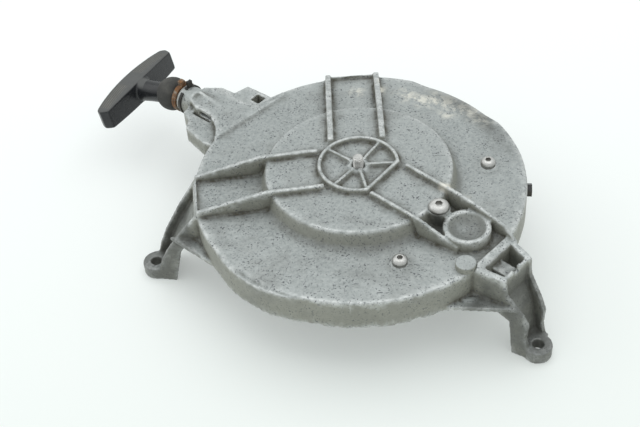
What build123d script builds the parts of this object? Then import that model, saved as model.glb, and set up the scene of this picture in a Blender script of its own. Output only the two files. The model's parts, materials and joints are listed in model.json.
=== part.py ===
from build123d import *
from math import acos, atan2, cos, degrees, hypot, radians, sin, sqrt
import os

# Rewind (recoil) starter of a small outboard engine. Millimetres, +Z up.
# Origin: on the crankshaft axis, in the plane that the three feet stand on.
os.makedirs("parts", exist_ok=True)

# ---- casting: deck, skirt and raised middle ----
deck_z = 70.0            # top face of the flat deck
deck_t = 4.0             # wall of the deck and of the plateau
rim_r = 125.0            # outer radius of the deck
skirt_h = 25.0           # depth of the rim's skirt
skirt_t = 5.5
plateau_r = 71.6         # mean radius of the raised middle
plateau_h = 13.0
plateau_draft = 2.0      # half of the slope's width in plan
plateau_top_fillet = 2.5
plateau_foot_fillet = 5.0
rim_fillet = 1.2
cavity_r = 65.0          # spring chamber under the plateau
relief_depth = 3.0       # flattened stretch of the rim
relief_from, relief_to, relief_end = 31.0, 58.0, 66.0
bulge_dir = -131.0       # thickened stretch of the rim
bulge_out = 3.0
bulge_offset = 40.0      # distance of its round's centre from the axis
sink = 2.0               # how far raised features start below the face they stand on

# ---- ribs and hub ----
rib_h = 4.0              # ribs over the plateau
rib_foot_h = 5.0         # ribs over the deck at the rim
rib_half_gap = 19.7      # from an arm's centre line to its rib
ring_r = 29.2
ring_w = 2.5
chord_from, chord_to = -82.0, -3.0       # where a straight rib cuts the hub ring short
spoke_dirs = (137, 52, -134, chord_to, chord_from)
spoke_w = 2.2
spoke_h = 2.6
boss_r = 7.9
boss_h = 1.4

# ---- arms: direction in degrees and rib width ----
back_dir, back_rib_w = 88.0, 4.4
left_dir, left_rib_w = 183.0, 3.6
right_dir, right_rib_w = 313.0, 2.8
right_shift = 1.8        # the right arm's centre line beside the axis

# ---- legs and feet ----
left_reach = 37.0        # from the rim to the foot's screw hole
back_reach = 40.0
right_reach = 44.0
foot_hole_r = 4.3        # clearance hole for an M8 screw
foot_r = 10.5
pad_h = 10.0
leg_wall = 3.6
web_t = 3.0
cross_t = 2.6            # wall across the right leg, behind the cable window
window_from, window_to = 3.5, 18.0       # cable window, outwards from the rim

# Side outlines of the legs: (along from the screw hole, height below the deck).
leg_shoulder = [(-23.5, 18.5), (-11.0, 38.5)]
leg_floor = [(-24.0, 30.0), (-15.0, 45.0)]
right_floor = [(-16.0, 35.0), (-12.0, 50.0)]
right_ankle = [(-9.0, 28.0), (-4.0, 37.0)]
# The right leg's crest first runs level past the window: (along from the rim, height over the deck).
right_crest = [(6.0, 1.0), (21.5, 0.0), (23.0, -14.0)]

# ---- rope outlet, seen from above: along the neck from the rim, and beside its centre line ----
neck_dir = 136.0         # direction of the outlet's top plate
plate_h = 1.5            # raised plate over the deck
neck_half_w = 14.0
neck_waist = 17.5        # half width where the plate's hollow sides begin
plate_left = (-4.5, 33.0)
plate_right = [(-13.0, -41.0), (-9.0, -43.0)]
plate_tip = (47.0, 9.0)
box_from, box_to = -5.0, 39.0
slot_w = 2.6
left_slot = (16.0, 37.0)
right_slot = (2.0, 35.0)
ear_drop = 4.0           # ears lie below the deck face
ear_t = 14.0
ear_left = [(-8, 12), (45, 12), (44, 20), (33, 25), (28, 33), (4, 38), (-8, 36)]
ear_right = [(-8, -12), (45, -12), (46, -18), (40, -22), (27, -23), (24, -36), (2, -37), (-8, -36)]
ear_window = (6.0, -29.0)
ear_window_w = 9.0
mouth_along = 10.0       # where the rope bends into the outlet
outlet_along = 63.5      # ring face
outlet_side = 2.1
outlet_rise = 2.0        # outlet's height over the rope on the sheave
tube_yaw = 0.0           # outlet tube against the top plate, in plan
tube_droop = 2.0
tube_r = 11.6
tube_len = 15.0
neck_len = 14.0          # thinner stretch behind the tube
fin_t = 2.8
fin_over = 4.6           # top of the fin over the deck
fin_from, fin_to = 46.0, 20.0            # back from the ring face

# ---- rope, sheave and spindle ----
rope_d = 4.8
turn_gap = 0.2           # between neighbouring turns
half_turns = 9
rope_out_r = 77.5        # outermost turn's centre line
groove_drop = 7.2        # sheave's groove starts this far under the deck's top face
groove_play = 0.8
flange_t = 2.0
flange_r = 84.0
hub_wall = 8.0
spindle_r = 10.0
bush_wall = 2.0
run_gap = 0.05           # running clearance, radial
gap = 0.3                # clearance between pieces of different bodies
bolt_r = 4.0             # M8
bolt_gap = 0.2

# ---- mainspring ----
strip_t = 1.0
strip_w = 11.0
spring_turns = 11
spring_out_r = 60.5

# ---- pawls and friction plate ----
pawl_at = 38.0           # pawl pivot's distance from the axis
pawl_pin_r = 3.0
pawl_t = 4.0
plate_t = 2.0

# ---- cup, plug and screws on the deck ----
cup_at = (71.0, -69.0)
cup_r = 17.2
cup_h = 10.0
dish_r = 15.3            # round hollow in the cup
dish_over = 16.5         # its centre over the deck
plug_at = (65.8, -98.9)
plug_r = 7.4
plug_h = 5.0
plug_spigot_r = 3.9
seat_gap_r = 0.1         # between a plug's head and the casting round it
keeper_screws_at = [(21.1, -89.8), (97.7, 3.1)]
pad_r, screw_pad_h = 6.4, 0.8
hook_screw_at = (53.5, -50.5)
hook_boss_r = 8.2
hook_boss_h = 12.0
m6_r = 2.9
m6_clear_r = 3.2
hook_thread = 11.5
hook_head_r, hook_head_h = 7.7, 4.6
rim_screw_dir = -7.8
rim_screw_r = 2.5

# ---- neutral lock: plunger under the cup, pushed in by a cable from the right leg's window ----
plunger_r = 3.5
plunger_travel = 5.5
notch_depth = 3.8
notch_gap = 0.75
lug_in, lug_out = 94.0, 109.0
lug_w = 15.0
lug_drop = 17.0

# ---- levels and radii that follow ----
deck_under = deck_z - deck_t
plateau_z = deck_z + plateau_h
cavity_z = plateau_z - deck_t
rim_z = deck_z - skirt_h
rib_z = plateau_z + rib_h
groove_w = rope_d + groove_play
rope_z = deck_z - groove_drop - groove_w / 2
relief_r = rim_r - relief_depth
bulge_r = rim_r + bulge_out - bulge_offset
skirt_mid_r = rim_r - skirt_t / 2
left_hole_at = rim_r + left_reach
back_hole_at = rim_r + back_reach
right_hole_at = rim_r + right_reach
window_in = rim_r + window_from
window_out = rim_r + window_to
notch_floor_r = flange_r - notch_depth


def polar(r, deg):
    return (r * cos(radians(deg)), r * sin(radians(deg)))


def upright(deg, r=0.0, side=0.0, turn=0.0):
    """Vertical plane: local x runs outwards along deg + turn, local y is up."""
    c, s = cos(radians(deg)), sin(radians(deg))
    at = (r * c - side * s, r * s + side * c, 0)
    a = radians(deg + turn)
    return Plane(origin=at, x_dir=(cos(a), sin(a), 0), z_dir=(sin(a), -cos(a), 0))


def level(deg, z):
    """Horizontal plane at height z whose local x runs outwards along deg."""
    return Plane(origin=(0, 0, z), x_dir=(*polar(1, deg), 0), z_dir=(0, 0, 1))


def from_rim(outline):
    """Points given along from the rim and beside the centre line, on the level plane of that direction."""
    return [(rim_r + along, side) for along, side in outline]


def save(piece, name):
    piece.part.label = name
    export_step(piece.part, f"parts/{name}.step")


# ================= legs =================
def leg_plan(hole_at, inset):
    """Leg in plan, tapering from the arm's ribs to the foot."""
    root = rib_half_gap + leg_wall / 2 - inset
    foot = foot_r - inset
    return [(skirt_mid_r, -root), (hole_at, -foot), (hole_at, foot), (skirt_mid_r, root)]


def over_foot(outline, hole_at):
    """Points of a leg's side outline, placed from its screw hole and the deck."""
    return [(hole_at + along, deck_z - drop) for along, drop in outline]


toe_back = 4.0           # the foot's inner edge, inwards from its round end
ankle_back, right_ankle_back = 11.5, 7.0
ankle_drop = 13.0
knee_out, knee_drop = 9.0, 3.0
instep_h = 9.0
crest_drop = 1.5


def leg_block(deg, shift, hole_at, ankle_at, shoulder):
    """Solid leg: plan outline cut to the side outline of the wall."""
    crest = deck_z + rib_foot_h
    with BuildPart() as block:
        with BuildSketch(level(deg, 0)):
            with Locations((0, shift)):
                Polygon(*leg_plan(hole_at, 0), align=None)
            with Locations((hole_at, 0)):
                Circle(foot_r)
        extrude(amount=crest)
        with BuildSketch(upright(deg)):
            with BuildLine():
                Polyline(
                    (skirt_mid_r, rim_z),
                    (skirt_mid_r, crest - crest_drop),
                    *shoulder,
                    (hole_at - foot_r / 2, pad_h + instep_h),
                    (hole_at - foot_r / 4, pad_h),
                    (hole_at + foot_r, pad_h),
                    (hole_at + foot_r, 0),
                    (hole_at - foot_r - toe_back, 0),
                    (ankle_at, rim_z - ankle_drop),
                    (rim_r + knee_out, rim_z - knee_drop),
                    close=True,
                )
            make_face()
        extrude(amount=rim_r, both=True, mode=Mode.INTERSECT)
    return block.part


def leg_channel(deg, shift, hole_at, floor):
    """The open channel between the leg's two walls, above its sloping floor."""
    outer_end = hole_at + 2 * foot_r
    with BuildPart() as channel:
        with BuildSketch(level(deg, 0)):
            with Locations((0, shift)):
                Polygon(*leg_plan(hole_at, leg_wall), align=None)
            with Locations((hole_at, 0)):
                Circle(foot_r - leg_wall)
        extrude(amount=rib_z)
        with BuildSketch(upright(deg)):
            with BuildLine():
                Polyline(*floor, (outer_end, pad_h), (outer_end, rib_z), (floor[0][0], rib_z), close=True)
            make_face()
        extrude(amount=rim_r, both=True, mode=Mode.INTERSECT)
    return channel.part


def leg_underside(deg, shift, hole_at, floor):
    """Hollow under the leg's floor, a web's thickness below it, open downwards as it leaves the mould."""
    inner = web_t / 2
    ceiling = [(x - inner, z - web_t - inner) for x, z in floor[:-1]]
    with BuildPart() as hollow:
        with BuildSketch(level(deg, 0)):
            with Locations((0, shift)):
                Polygon(*leg_plan(hole_at, leg_wall), align=None)
        extrude(amount=rib_z)
        with BuildSketch(upright(deg)):
            with BuildLine():
                Polyline((rim_r, 0), *ceiling, (ceiling[-1][0], 0), close=True)
            make_face()
        extrude(amount=rim_r, both=True, mode=Mode.INTERSECT)
    return hollow.part


floor_drop = 12.0        # leg floors start this far below the deck, at the rim
right_floor_drop = 20.0
floor_end = 12.0         # and reach the pad this far before the screw hole
right_floor_end = 11.0
right_outline = from_rim([(along, deck_z + up) for along, up in right_crest])

legs = []
for deg, hole_at in ((left_dir, left_hole_at), (back_dir, back_hole_at)):
    floor = [(rim_r + gap, deck_z - floor_drop), *over_foot(leg_floor, hole_at), (hole_at - floor_end, pad_h)]
    legs.append((deg, 0, hole_at, hole_at - foot_r - ankle_back, over_foot(leg_shoulder, hole_at), floor))
floor = [(window_out + cross_t, deck_z - right_floor_drop), *over_foot(right_floor, right_hole_at),
         (right_hole_at - right_floor_end, pad_h)]
legs.append((right_dir, right_shift, right_hole_at, right_hole_at - foot_r - right_ankle_back,
             [*right_outline, *over_foot(right_ankle, right_hole_at)], floor))

leg_blocks = [leg_block(deg, shift, at, ankle, shoulder) for deg, shift, at, ankle, shoulder, _ in legs]
leg_hollows = [leg_underside(deg, shift, at, floor) for deg, shift, at, *_, floor in legs]
leg_channels = [leg_channel(deg, shift, at, floor) for deg, shift, at, *_, floor in legs]

# Level webs: arm, degrees from it to the root on the skirt, tip's reach past the rim, tip beside the arm.
webs = [
    (left_dir, 27, left_reach - 15.0, 14.0),
    (back_dir, -27, back_reach - 15.0, -14.0),
    (right_dir, -22, right_reach - 11.0, -11.5),
]


# ================= housing: one casting =================
def rib_outline(knees, end):
    """Side outline of a rib from the hub ring to the rim, sunk into deck and plateau."""
    return [
        (ring_r - ring_w / 2, plateau_z - sink),
        (ring_r - ring_w / 2, rib_z),
        (plateau_r, rib_z),
        *knees,
        end,
        (end[0], deck_z - sink),
        (plateau_r + plateau_draft, deck_z - sink),
        (cavity_r + 1, plateau_z - sink),
    ]


# The right arm's outer rib stays high past the cup: (along from the rim, height over the deck).
right_rib = [(-33.0, plateau_h + rib_h - 1.3), (-6.3, 11.0), (5.0, 1.5)]
inner_rib_turn = 0.9     # its inner rib leans in a little over the plateau,
plug_rib_turn = 9.0      # and more over the deck, to end behind the plug
plug_rib_len = rim_r - plateau_r - 20.4
plug_rib_shift = 1.1
plug_rib_end_h = 4.5

plunger_plane = Plane(
    origin=(*polar(lug_in - 1, right_dir), rope_z), x_dir=(0, 0, 1), z_dir=(*polar(1, right_dir), 0))
rim_screw_plane = Plane(
    origin=(*polar(rim_r, rim_screw_dir), rope_z), x_dir=(0, 0, 1), z_dir=(*polar(1, rim_screw_dir), 0))

neck_plane = level(neck_dir, 0)
outlet_at = neck_plane.from_local_coords(Vector(rim_r + outlet_along, outlet_side, rope_z + outlet_rise))
tube_dir = neck_dir + tube_yaw
axis_out = Vector(*polar(cos(radians(tube_droop)), tube_dir), -sin(radians(tube_droop)))
outlet = Plane(origin=outlet_at, x_dir=(*polar(1, tube_dir + 90), 0), z_dir=axis_out)

ferrule_t = 4.0
ferrule_spigot_r, ferrule_spigot = 8.8, 8.0
tube_face = -ferrule_t - bolt_gap        # the ferrule's flange seats on the tube
rope_bore_r = rope_d / 2 + 3.1
bore_len = 48.0
tongue_drop, tongue_w, window_shift = 9.0, 11.0, 1.5
cross_notch_r = 3.5
window_sides = ((-12.5, 17.5), (-9.5, 13.5))       # at the rim, and at the cross wall
channel_plan = [(-15, 23), (-4, 19), (2, 11), (31, 10), (31, -10), (-15, -10)]
roof_from, roof_to, roof_shift, roof_w = -8.0, 31.0, 2.0, 24.0
roof_h = 2.2

with BuildPart() as housing:
    with BuildSketch(Plane.XZ) as shell:
        with BuildLine():
            Polyline(
                (0, plateau_z),
                (plateau_r - plateau_draft, plateau_z),
                (plateau_r + plateau_draft, deck_z),
                (rim_r, deck_z),
                (rim_r, rim_z),
                (rim_r - skirt_t, rim_z),
                (rim_r - skirt_t, deck_under),
                (cavity_r, deck_under),
                (cavity_r, cavity_z),
                (0, cavity_z),
                close=True,
            )
        make_face()
        for corner_r, corner_z, fillet_r in (
            (plateau_r - plateau_draft, plateau_z, plateau_top_fillet),
            (plateau_r + plateau_draft, deck_z, plateau_foot_fillet),
            (rim_r, deck_z, rim_fillet),
        ):
            fillet(shell.vertices().sort_by_distance((corner_r, corner_z))[0], fillet_r)
    revolve(axis=Axis.Z)
    # thickened stretch of the rim
    with BuildSketch(Plane.XY.offset(rim_z)):
        with Locations(polar(bulge_offset, bulge_dir)):
            Circle(bulge_r)
        Circle(rim_r - sink, mode=Mode.SUBTRACT)
    extrude(amount=skirt_h - rim_fillet)
    # flattened stretch of the rim
    with BuildSketch(Plane.XY.offset(rim_z)):
        past_rim = rim_r + rim_fillet / 2
        relief_start = relief_from - (relief_end - relief_to)
        with BuildLine():
            CenterArc((0, 0), relief_r, relief_from, relief_to - relief_from)
            Line(polar(relief_r, relief_to), polar(past_rim, relief_end))
            CenterArc((0, 0), past_rim, relief_start, relief_end - relief_start)
            Line(polar(past_rim, relief_start), polar(relief_r, relief_from))
        make_face()
    extrude(amount=skirt_h + 1, mode=Mode.SUBTRACT)
    # legs
    for leg in leg_blocks:
        add(leg)
    for hollow in (*leg_hollows, *leg_channels):
        add(hollow, mode=Mode.SUBTRACT)
    # level webs that tie a leg's wall to the skirt
    for deg, skirt_at, tip_along, tip_side in webs:
        with BuildSketch(level(deg, rim_z)):
            with BuildLine():
                Polyline(polar(skirt_mid_r, skirt_at), polar(skirt_mid_r, skirt_at / 3),
                         (rim_r + tip_along, tip_side), close=True)
            make_face()
        extrude(amount=web_t)
    # lug under the deck that guides the lock plunger
    with BuildSketch(level(right_dir, deck_z - lug_drop)):
        with Locations(((lug_in + lug_out) / 2, 0)):
            Rectangle(lug_out - lug_in, lug_w)
    extrude(amount=lug_drop - deck_t + 1)
    # ribs of the left and back arms
    for deg, width in ((left_dir, left_rib_w), (back_dir, back_rib_w)):
        for side in (-rib_half_gap, rib_half_gap):
            with BuildSketch(upright(deg, 0, side)):
                with BuildLine():
                    Polyline(*rib_outline([], (rim_r - sink, deck_z + rib_foot_h)), close=True)
                make_face()
            extrude(amount=width / 2, both=True)
    # ribs of the right arm
    right_knees = from_rim([(along, deck_z + up) for along, up in right_rib])
    with BuildSketch(upright(right_dir, 0, right_shift + rib_half_gap)):
        with BuildLine():
            Polyline(*rib_outline(right_knees[:-1], right_knees[-1]), close=True)
        make_face()
    extrude(amount=right_rib_w / 2, both=True)
    with BuildSketch(upright(right_dir, 0, right_shift - rib_half_gap, inner_rib_turn)):
        with BuildLine():
            Polyline((ring_r - ring_w / 2, plateau_z - sink), (ring_r - ring_w / 2, rib_z),
                     (plateau_r + 1, rib_z), (plateau_r + 1, plateau_z - sink), close=True)
        make_face()
    extrude(amount=right_rib_w / 2, both=True)
    plug_rib_side = right_shift - rib_half_gap + plug_rib_shift
    with BuildSketch(upright(right_dir, plateau_r, plug_rib_side, plug_rib_turn)):
        with BuildLine():
            Polyline((0, rib_z), (plug_rib_len, deck_z + plug_rib_end_h), (plug_rib_len, deck_z - sink),
                     (plateau_draft, deck_z - sink), (-2, plateau_z - sink), (-2, rib_z), close=True)
        make_face()
    extrude(amount=right_rib_w / 2, both=True)
    # hub ring, chord, spokes and boss
    chord_mid = (chord_from + chord_to) / 2
    chord_half = (chord_to - chord_from) / 2
    with BuildSketch(Plane.XY.offset(plateau_z - sink)):
        Circle(ring_r + ring_w / 2)
        Circle(ring_r - ring_w / 2, mode=Mode.SUBTRACT)
        with BuildLine():
            Polyline((0, 0), polar(2 * ring_r, chord_to), polar(3 * ring_r, chord_mid),
                     polar(2 * ring_r, chord_from), close=True)
        make_face(mode=Mode.SUBTRACT)
        chord_r = ring_r * cos(radians(chord_half))
        with Locations(Location((*polar(chord_r, chord_mid), 0), (0, 0, chord_mid))):
            Rectangle(ring_w, 2 * ring_r * sin(radians(chord_half)) + ring_w)
    extrude(amount=rib_h + sink)
    with BuildSketch(Plane.XY.offset(plateau_z - sink)):
        for deg in spoke_dirs:
            with Locations(Location((*polar(ring_r / 2, deg), 0), (0, 0, deg))):
                Rectangle(ring_r, spoke_w)
    extrude(amount=spoke_h + sink)
    with BuildSketch(Plane.XY.offset(plateau_z - sink)):
        RegularPolygon(boss_r, 8, major_radius=False)
    extrude(amount=boss_h + sink)
    # cup beside the outer rib, screw bosses
    with BuildSketch(Plane.XY.offset(deck_z - sink)):
        with Locations(cup_at):
            Circle(cup_r)
    extrude(amount=cup_h + sink)
    with Locations((*cup_at, deck_z + dish_over)):
        Sphere(dish_r, mode=Mode.SUBTRACT)
    with BuildSketch(Plane.XY.offset(deck_z - sink)):
        with Locations(hook_screw_at):
            Circle(hook_boss_r)
    extrude(amount=hook_boss_h + sink)
    with BuildSketch(Plane.XY.offset(deck_z - sink)):
        with Locations(*keeper_screws_at):
            Circle(pad_r)
    extrude(amount=screw_pad_h + sink)
    # neck: raised plate, box under it, ears beside it
    with BuildSketch(level(neck_dir, deck_under)):
        corner_right, side_right = from_rim(plate_right)
        corner_left = from_rim([plate_left])[0]
        waist_s, tip_s = rim_r + right_slot[1] / 3, rim_r + plate_tip[0]
        with BuildLine():
            Polyline(corner_left, corner_right, side_right)
            ThreePointArc(side_right, (rim_r, -neck_waist), (waist_s, -neck_half_w))
            Polyline((waist_s, -neck_half_w), (rim_r + box_to, -neck_half_w), (tip_s, -plate_tip[1]),
                     (tip_s, plate_tip[1]), (rim_r + right_slot[1], neck_half_w))
            ThreePointArc((rim_r + right_slot[1], neck_half_w), (waist_s, neck_waist), corner_left)
        make_face()
    extrude(amount=deck_t + plate_h)
    with BuildSketch(level(neck_dir, rim_z)):
        with Locations((rim_r + (box_from + box_to) / 2, 0)):
            Rectangle(box_to - box_from, 2 * neck_half_w)
    extrude(amount=deck_under - rim_z + 1)
    with BuildSketch(level(neck_dir, deck_z - ear_drop - ear_t)):
        for ear in (ear_left, ear_right):
            with BuildLine():
                Polyline(*from_rim(ear), close=True)
            make_face()
    extrude(amount=ear_t)
    # slots beside the neck, window in the right ear
    with BuildSketch(level(neck_dir, 0)):
        for (start, end), side in ((left_slot, 1), (right_slot, -1)):
            with Locations((rim_r + (start + end) / 2, side * (neck_half_w + slot_w / 2))):
                Rectangle(end - start, slot_w)
        with Locations((rim_r + ear_window[0], ear_window[1])):
            Rectangle(ear_window_w, ear_window_w)
    extrude(amount=rib_z, mode=Mode.SUBTRACT)
    # outlet tube and the thinner neck behind it
    with BuildSketch(outlet.offset(tube_face)):
        Circle(tube_r)
    extrude(amount=-tube_len)
    with BuildSketch(outlet.offset(tube_face - tube_len)):
        Circle(tube_r - sink)
    extrude(amount=-neck_len)
    # fin over the tube
    with BuildSketch(upright(tube_dir, rim_r + outlet_along)):
        with BuildLine():
            Polyline((-fin_to, deck_under), (-fin_to, deck_z + fin_over), (-fin_from, deck_z + plate_h),
                     (-fin_from, deck_under), close=True)
        make_face()
    extrude(amount=fin_t / 2, both=True)
    # rope channel, open downwards, its mouth through the skirt, and the tube's bore
    with BuildSketch(neck_plane):
        with BuildLine():
            Polyline(*from_rim(channel_plan), close=True)
        make_face()
    extrude(amount=deck_under, mode=Mode.SUBTRACT)
    with BuildSketch(level(neck_dir, deck_under - 1)):
        with Locations((rim_r + (roof_from + roof_to) / 2, roof_shift)):
            Rectangle(roof_to - roof_from, roof_w)
    extrude(amount=roof_h + 1, mode=Mode.SUBTRACT)
    with BuildSketch(outlet.offset(tube_face)):
        Circle(rope_bore_r)
    extrude(amount=-bore_len, mode=Mode.SUBTRACT)
    with BuildSketch(outlet.offset(tube_face)):
        Circle(ferrule_spigot_r + bolt_gap)
    extrude(amount=-ferrule_spigot - 1, mode=Mode.SUBTRACT)
    # cable window in the right leg, its tongue and the notch over it
    with BuildSketch(level(right_dir, rim_z - lug_drop / 2)):
        (near_low, near_high), (far_low, far_high) = window_sides
        with BuildLine():
            Polyline((window_in, near_low), (window_in, near_high), (window_out, far_high),
                     (window_out, far_low), close=True)
        make_face()
    extrude(amount=rib_z, mode=Mode.SUBTRACT)
    with BuildSketch(level(right_dir, deck_z - tongue_drop)):
        with Locations(((window_in + window_out) / 2, window_shift)):
            Rectangle(window_out - window_in + 2, tongue_w)
    extrude(amount=web_t)
    with BuildSketch(upright(right_dir, 0, window_shift)):
        with Locations((window_out + cross_t / 2, deck_z)):
            Circle(cross_notch_r)
    extrude(amount=cross_t, both=True, mode=Mode.SUBTRACT)
    # bores: centre bolt, screws, plug, plunger, feet
    with Locations((0, 0, plateau_z)):
        Hole(bolt_r + bolt_gap, depth=deck_z)
    with BuildSketch(Plane.XY.offset(plateau_z - 1)):
        Circle(bolt_r + 0.7)
    extrude(amount=boss_h + sink, mode=Mode.SUBTRACT)
    with BuildSketch(Plane.XY.offset(deck_under - 1)):
        with Locations(*keeper_screws_at):
            Circle(m6_clear_r)
    extrude(amount=deck_t + screw_pad_h + sink, mode=Mode.SUBTRACT)
    with BuildSketch(Plane.XY.offset(deck_z + hook_boss_h - hook_thread)):
        with Locations(hook_screw_at):
            Circle(m6_clear_r)
    extrude(amount=hook_thread, mode=Mode.SUBTRACT)
    with BuildSketch(Plane.XY.offset(deck_under - 1)):
        with Locations(plug_at):
            Circle(plug_spigot_r + run_gap)
    extrude(amount=deck_t + sink, mode=Mode.SUBTRACT)
    with BuildSketch(Plane.XY.offset(deck_z)):
        with Locations(plug_at):
            Circle(plug_r + seat_gap_r)
    extrude(amount=rib_z, mode=Mode.SUBTRACT)
    with BuildSketch(Plane.XY.offset(deck_z + hook_boss_h)):
        with Locations(hook_screw_at):
            Circle(hook_head_r + bolt_gap)
    extrude(amount=rib_z, mode=Mode.SUBTRACT)
    with BuildSketch(plunger_plane):
        Circle(plunger_r + run_gap)
    extrude(amount=lug_out - lug_in + 2, mode=Mode.SUBTRACT)
    with BuildSketch(plunger_plane):
        Circle(plunger_r + gap)
    extrude(amount=window_in - lug_in + 1, mode=Mode.SUBTRACT)
    with BuildSketch(rim_screw_plane):
        Circle(rim_screw_r + run_gap)
    extrude(amount=2 * skirt_t, both=True, mode=Mode.SUBTRACT)
    for deg, _, hole_at, *_ in legs:
        with BuildSketch(level(deg, -1)):
            with Locations((hole_at, 0)):
                Circle(foot_hole_r)
        extrude(amount=pad_h + sink, mode=Mode.SUBTRACT)

save(housing, "housing")

# ================= spindle, bolt and washers =================
spindle_end_z = deck_z - 26.5
retainer_t = 2.0
retainer_r = spindle_r + 5.0
bolt_head_h = 5.5
bolt_head_af = 2 * bolt_r + 5.0
bolt_out = 9.6           # bare thread over the plateau
spindle_chamfer = 0.4
thread_chamfer = 0.9

with BuildPart() as spindle:
    with BuildSketch(Plane.XY.offset(spindle_end_z)):
        Circle(spindle_r)
        Circle(bolt_r + bolt_gap, mode=Mode.SUBTRACT)
    extrude(amount=cavity_z - spindle_end_z)
    chamfer(spindle.edges().filter_by(GeomType.CIRCLE).group_by(Axis.Z)[0].sort_by(SortBy.RADIUS)[-1],
            spindle_chamfer)
save(spindle, "spindle")

with BuildPart() as retainer_washer:
    with BuildSketch(Plane.XY.offset(spindle_end_z - retainer_t)):
        Circle(retainer_r)
        Circle(bolt_r + bolt_gap, mode=Mode.SUBTRACT)
    extrude(amount=retainer_t)
save(retainer_washer, "retainer_washer")

with BuildPart() as centre_bolt:
    with BuildSketch(Plane.XY.offset(spindle_end_z - retainer_t - bolt_head_h)):
        RegularPolygon(bolt_head_af / 2, 6, major_radius=False)
    extrude(amount=bolt_head_h)
    with BuildSketch(Plane.XY.offset(spindle_end_z - retainer_t)):
        Circle(bolt_r)
    extrude(amount=plateau_z + bolt_out - spindle_end_z + retainer_t)
    chamfer(centre_bolt.faces().sort_by(Axis.Z)[-1].edges(), thread_chamfer)
save(centre_bolt, "centre_bolt")

# ================= sheave =================
bush_r = spindle_r + run_gap + bush_wall
hub_r = bush_r + hub_wall
turn_pitch = rope_d + turn_gap
groove_low = rope_z - groove_w / 2
groove_high = rope_z + groove_w / 2
sheave_low = groove_low - flange_t
sheave_high = groove_high + flange_t
rope_in_r = rope_out_r - half_turns * turn_pitch / 2
drum_r = rope_in_r - rope_d / 2 - 2 * gap
drum_wall = 4.0
hub_low = deck_z - 22.5
hub_high = cavity_z - 1.5
web_low, web_high = rope_z - 2.0, rope_z + 1.5
notches = 12
knot_r = rope_d / 2 + 1.3
knot_off = 2.5           # knot's centre past the rope's inner end
lightening_r = 5.5
spring_slot_over = 3.0   # the slot for the mainspring's hook starts this far over the web

back_along = (outlet_along - mouth_along) / (cos(radians(tube_yaw)) * cos(radians(tube_droop)))
mouth = outlet_at - axis_out * back_along
mouth_deg = degrees(atan2(mouth.Y, mouth.X))
mouth_r = hypot(mouth.X, mouth.Y)
leave_deg = mouth_deg + degrees(acos(rope_out_r / mouth_r))   # where the rope leaves the sheave


def coil_point(k):
    """End of the k-th half turn, counted from where the rope leaves."""
    return polar(rope_out_r - k * turn_pitch / 2, leave_deg + 180 * k)


def half_turn(start_r, step, deg):
    """Middle point of the half circle that runs from start_r at deg to start_r + step at deg + 180."""
    cx, cy = polar(-step / 2, deg)
    mx, my = polar(start_r + step / 2, deg + 90)
    return (cx + mx, cy + my)


knot_at = level(leave_deg + 180 * half_turns, 0).from_local_coords(Vector(rope_in_r, knot_off, 0))
knot_at = (knot_at.X, knot_at.Y)
hub_slot_w = strip_t + 2 * gap
hub_slot_depth = 4.0
spring_in_r = hub_r + 3.0

with BuildPart() as sheave:
    with BuildSketch(Plane.XZ):
        with BuildLine():
            Polyline(
                (bush_r, hub_low), (hub_r, hub_low), (hub_r, web_low), (drum_r - drum_wall, web_low),
                (drum_r - drum_wall, sheave_low), (flange_r, sheave_low), (flange_r, groove_low),
                (drum_r, groove_low), (drum_r, groove_high), (flange_r, groove_high), (flange_r, sheave_high),
                (drum_r - drum_wall, sheave_high), (drum_r - drum_wall, web_high), (hub_r, web_high),
                (hub_r, hub_high), (bush_r, hub_high), close=True,
            )
        make_face()
    revolve(axis=Axis.Z)
    # lock notches round both flanges, one in line with the plunger
    with BuildSketch(Plane.XY.offset(sheave_low - 1)):
        with PolarLocations(flange_r, notches, start_angle=right_dir):
            Rectangle(2 * notch_depth, 2 * (plunger_r + notch_gap))
    extrude(amount=sheave_high - sheave_low + 2, mode=Mode.SUBTRACT)
    # pocket for the rope's knot, slot for the mainspring's inner end, pawl pin holes
    with BuildSketch(Plane.XY.offset(rope_z - knot_r - seat_gap_r)):
        with Locations(knot_at):
            Circle(knot_r + 2 * gap)
    extrude(amount=sheave_high, mode=Mode.SUBTRACT)
    with BuildSketch(Plane.XY.offset(web_high + spring_slot_over)):
        with Locations((hub_r, 0)):
            Rectangle(2 * hub_slot_depth, hub_slot_w)
    extrude(amount=hub_high, mode=Mode.SUBTRACT)
    with BuildSketch(Plane.XY.offset(web_low - 1)):
        with Locations((pawl_at, 0), (-pawl_at, 0)):
            Circle(pawl_pin_r)
    extrude(amount=web_high - web_low + 2, mode=Mode.SUBTRACT)
    with BuildSketch(Plane.XY.offset(web_low - 1)):
        with PolarLocations((hub_r + drum_r - drum_wall) / 2, 4, start_angle=45):
            Circle(lightening_r)
    extrude(amount=web_high - web_low + 2, mode=Mode.SUBTRACT)
save(sheave, "sheave")

bush_proud = 0.2
with BuildPart() as sheave_bush:
    with BuildSketch(Plane.XY.offset(hub_low - bush_proud)):
        Circle(bush_r)
        Circle(spindle_r + run_gap, mode=Mode.SUBTRACT)
    extrude(amount=hub_high - hub_low + 2 * bush_proud)
save(sheave_bush, "sheave_bush")

# ================= rope =================
with BuildPart() as rope_wound:
    with BuildLine(Plane.XY.offset(rope_z)):
        for k in range(half_turns):
            start_r = rope_out_r - k * turn_pitch / 2
            middle = half_turn(start_r, -turn_pitch / 2, leave_deg + 180 * k)
            ThreePointArc(coil_point(k), middle, coil_point(k + 1))
    with BuildSketch(Plane(origin=(*coil_point(0), rope_z), z_dir=(*polar(1, leave_deg + 90), 0))):
        Circle(rope_d / 2)
    sweep()
save(rope_wound, "rope_wound")

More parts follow.
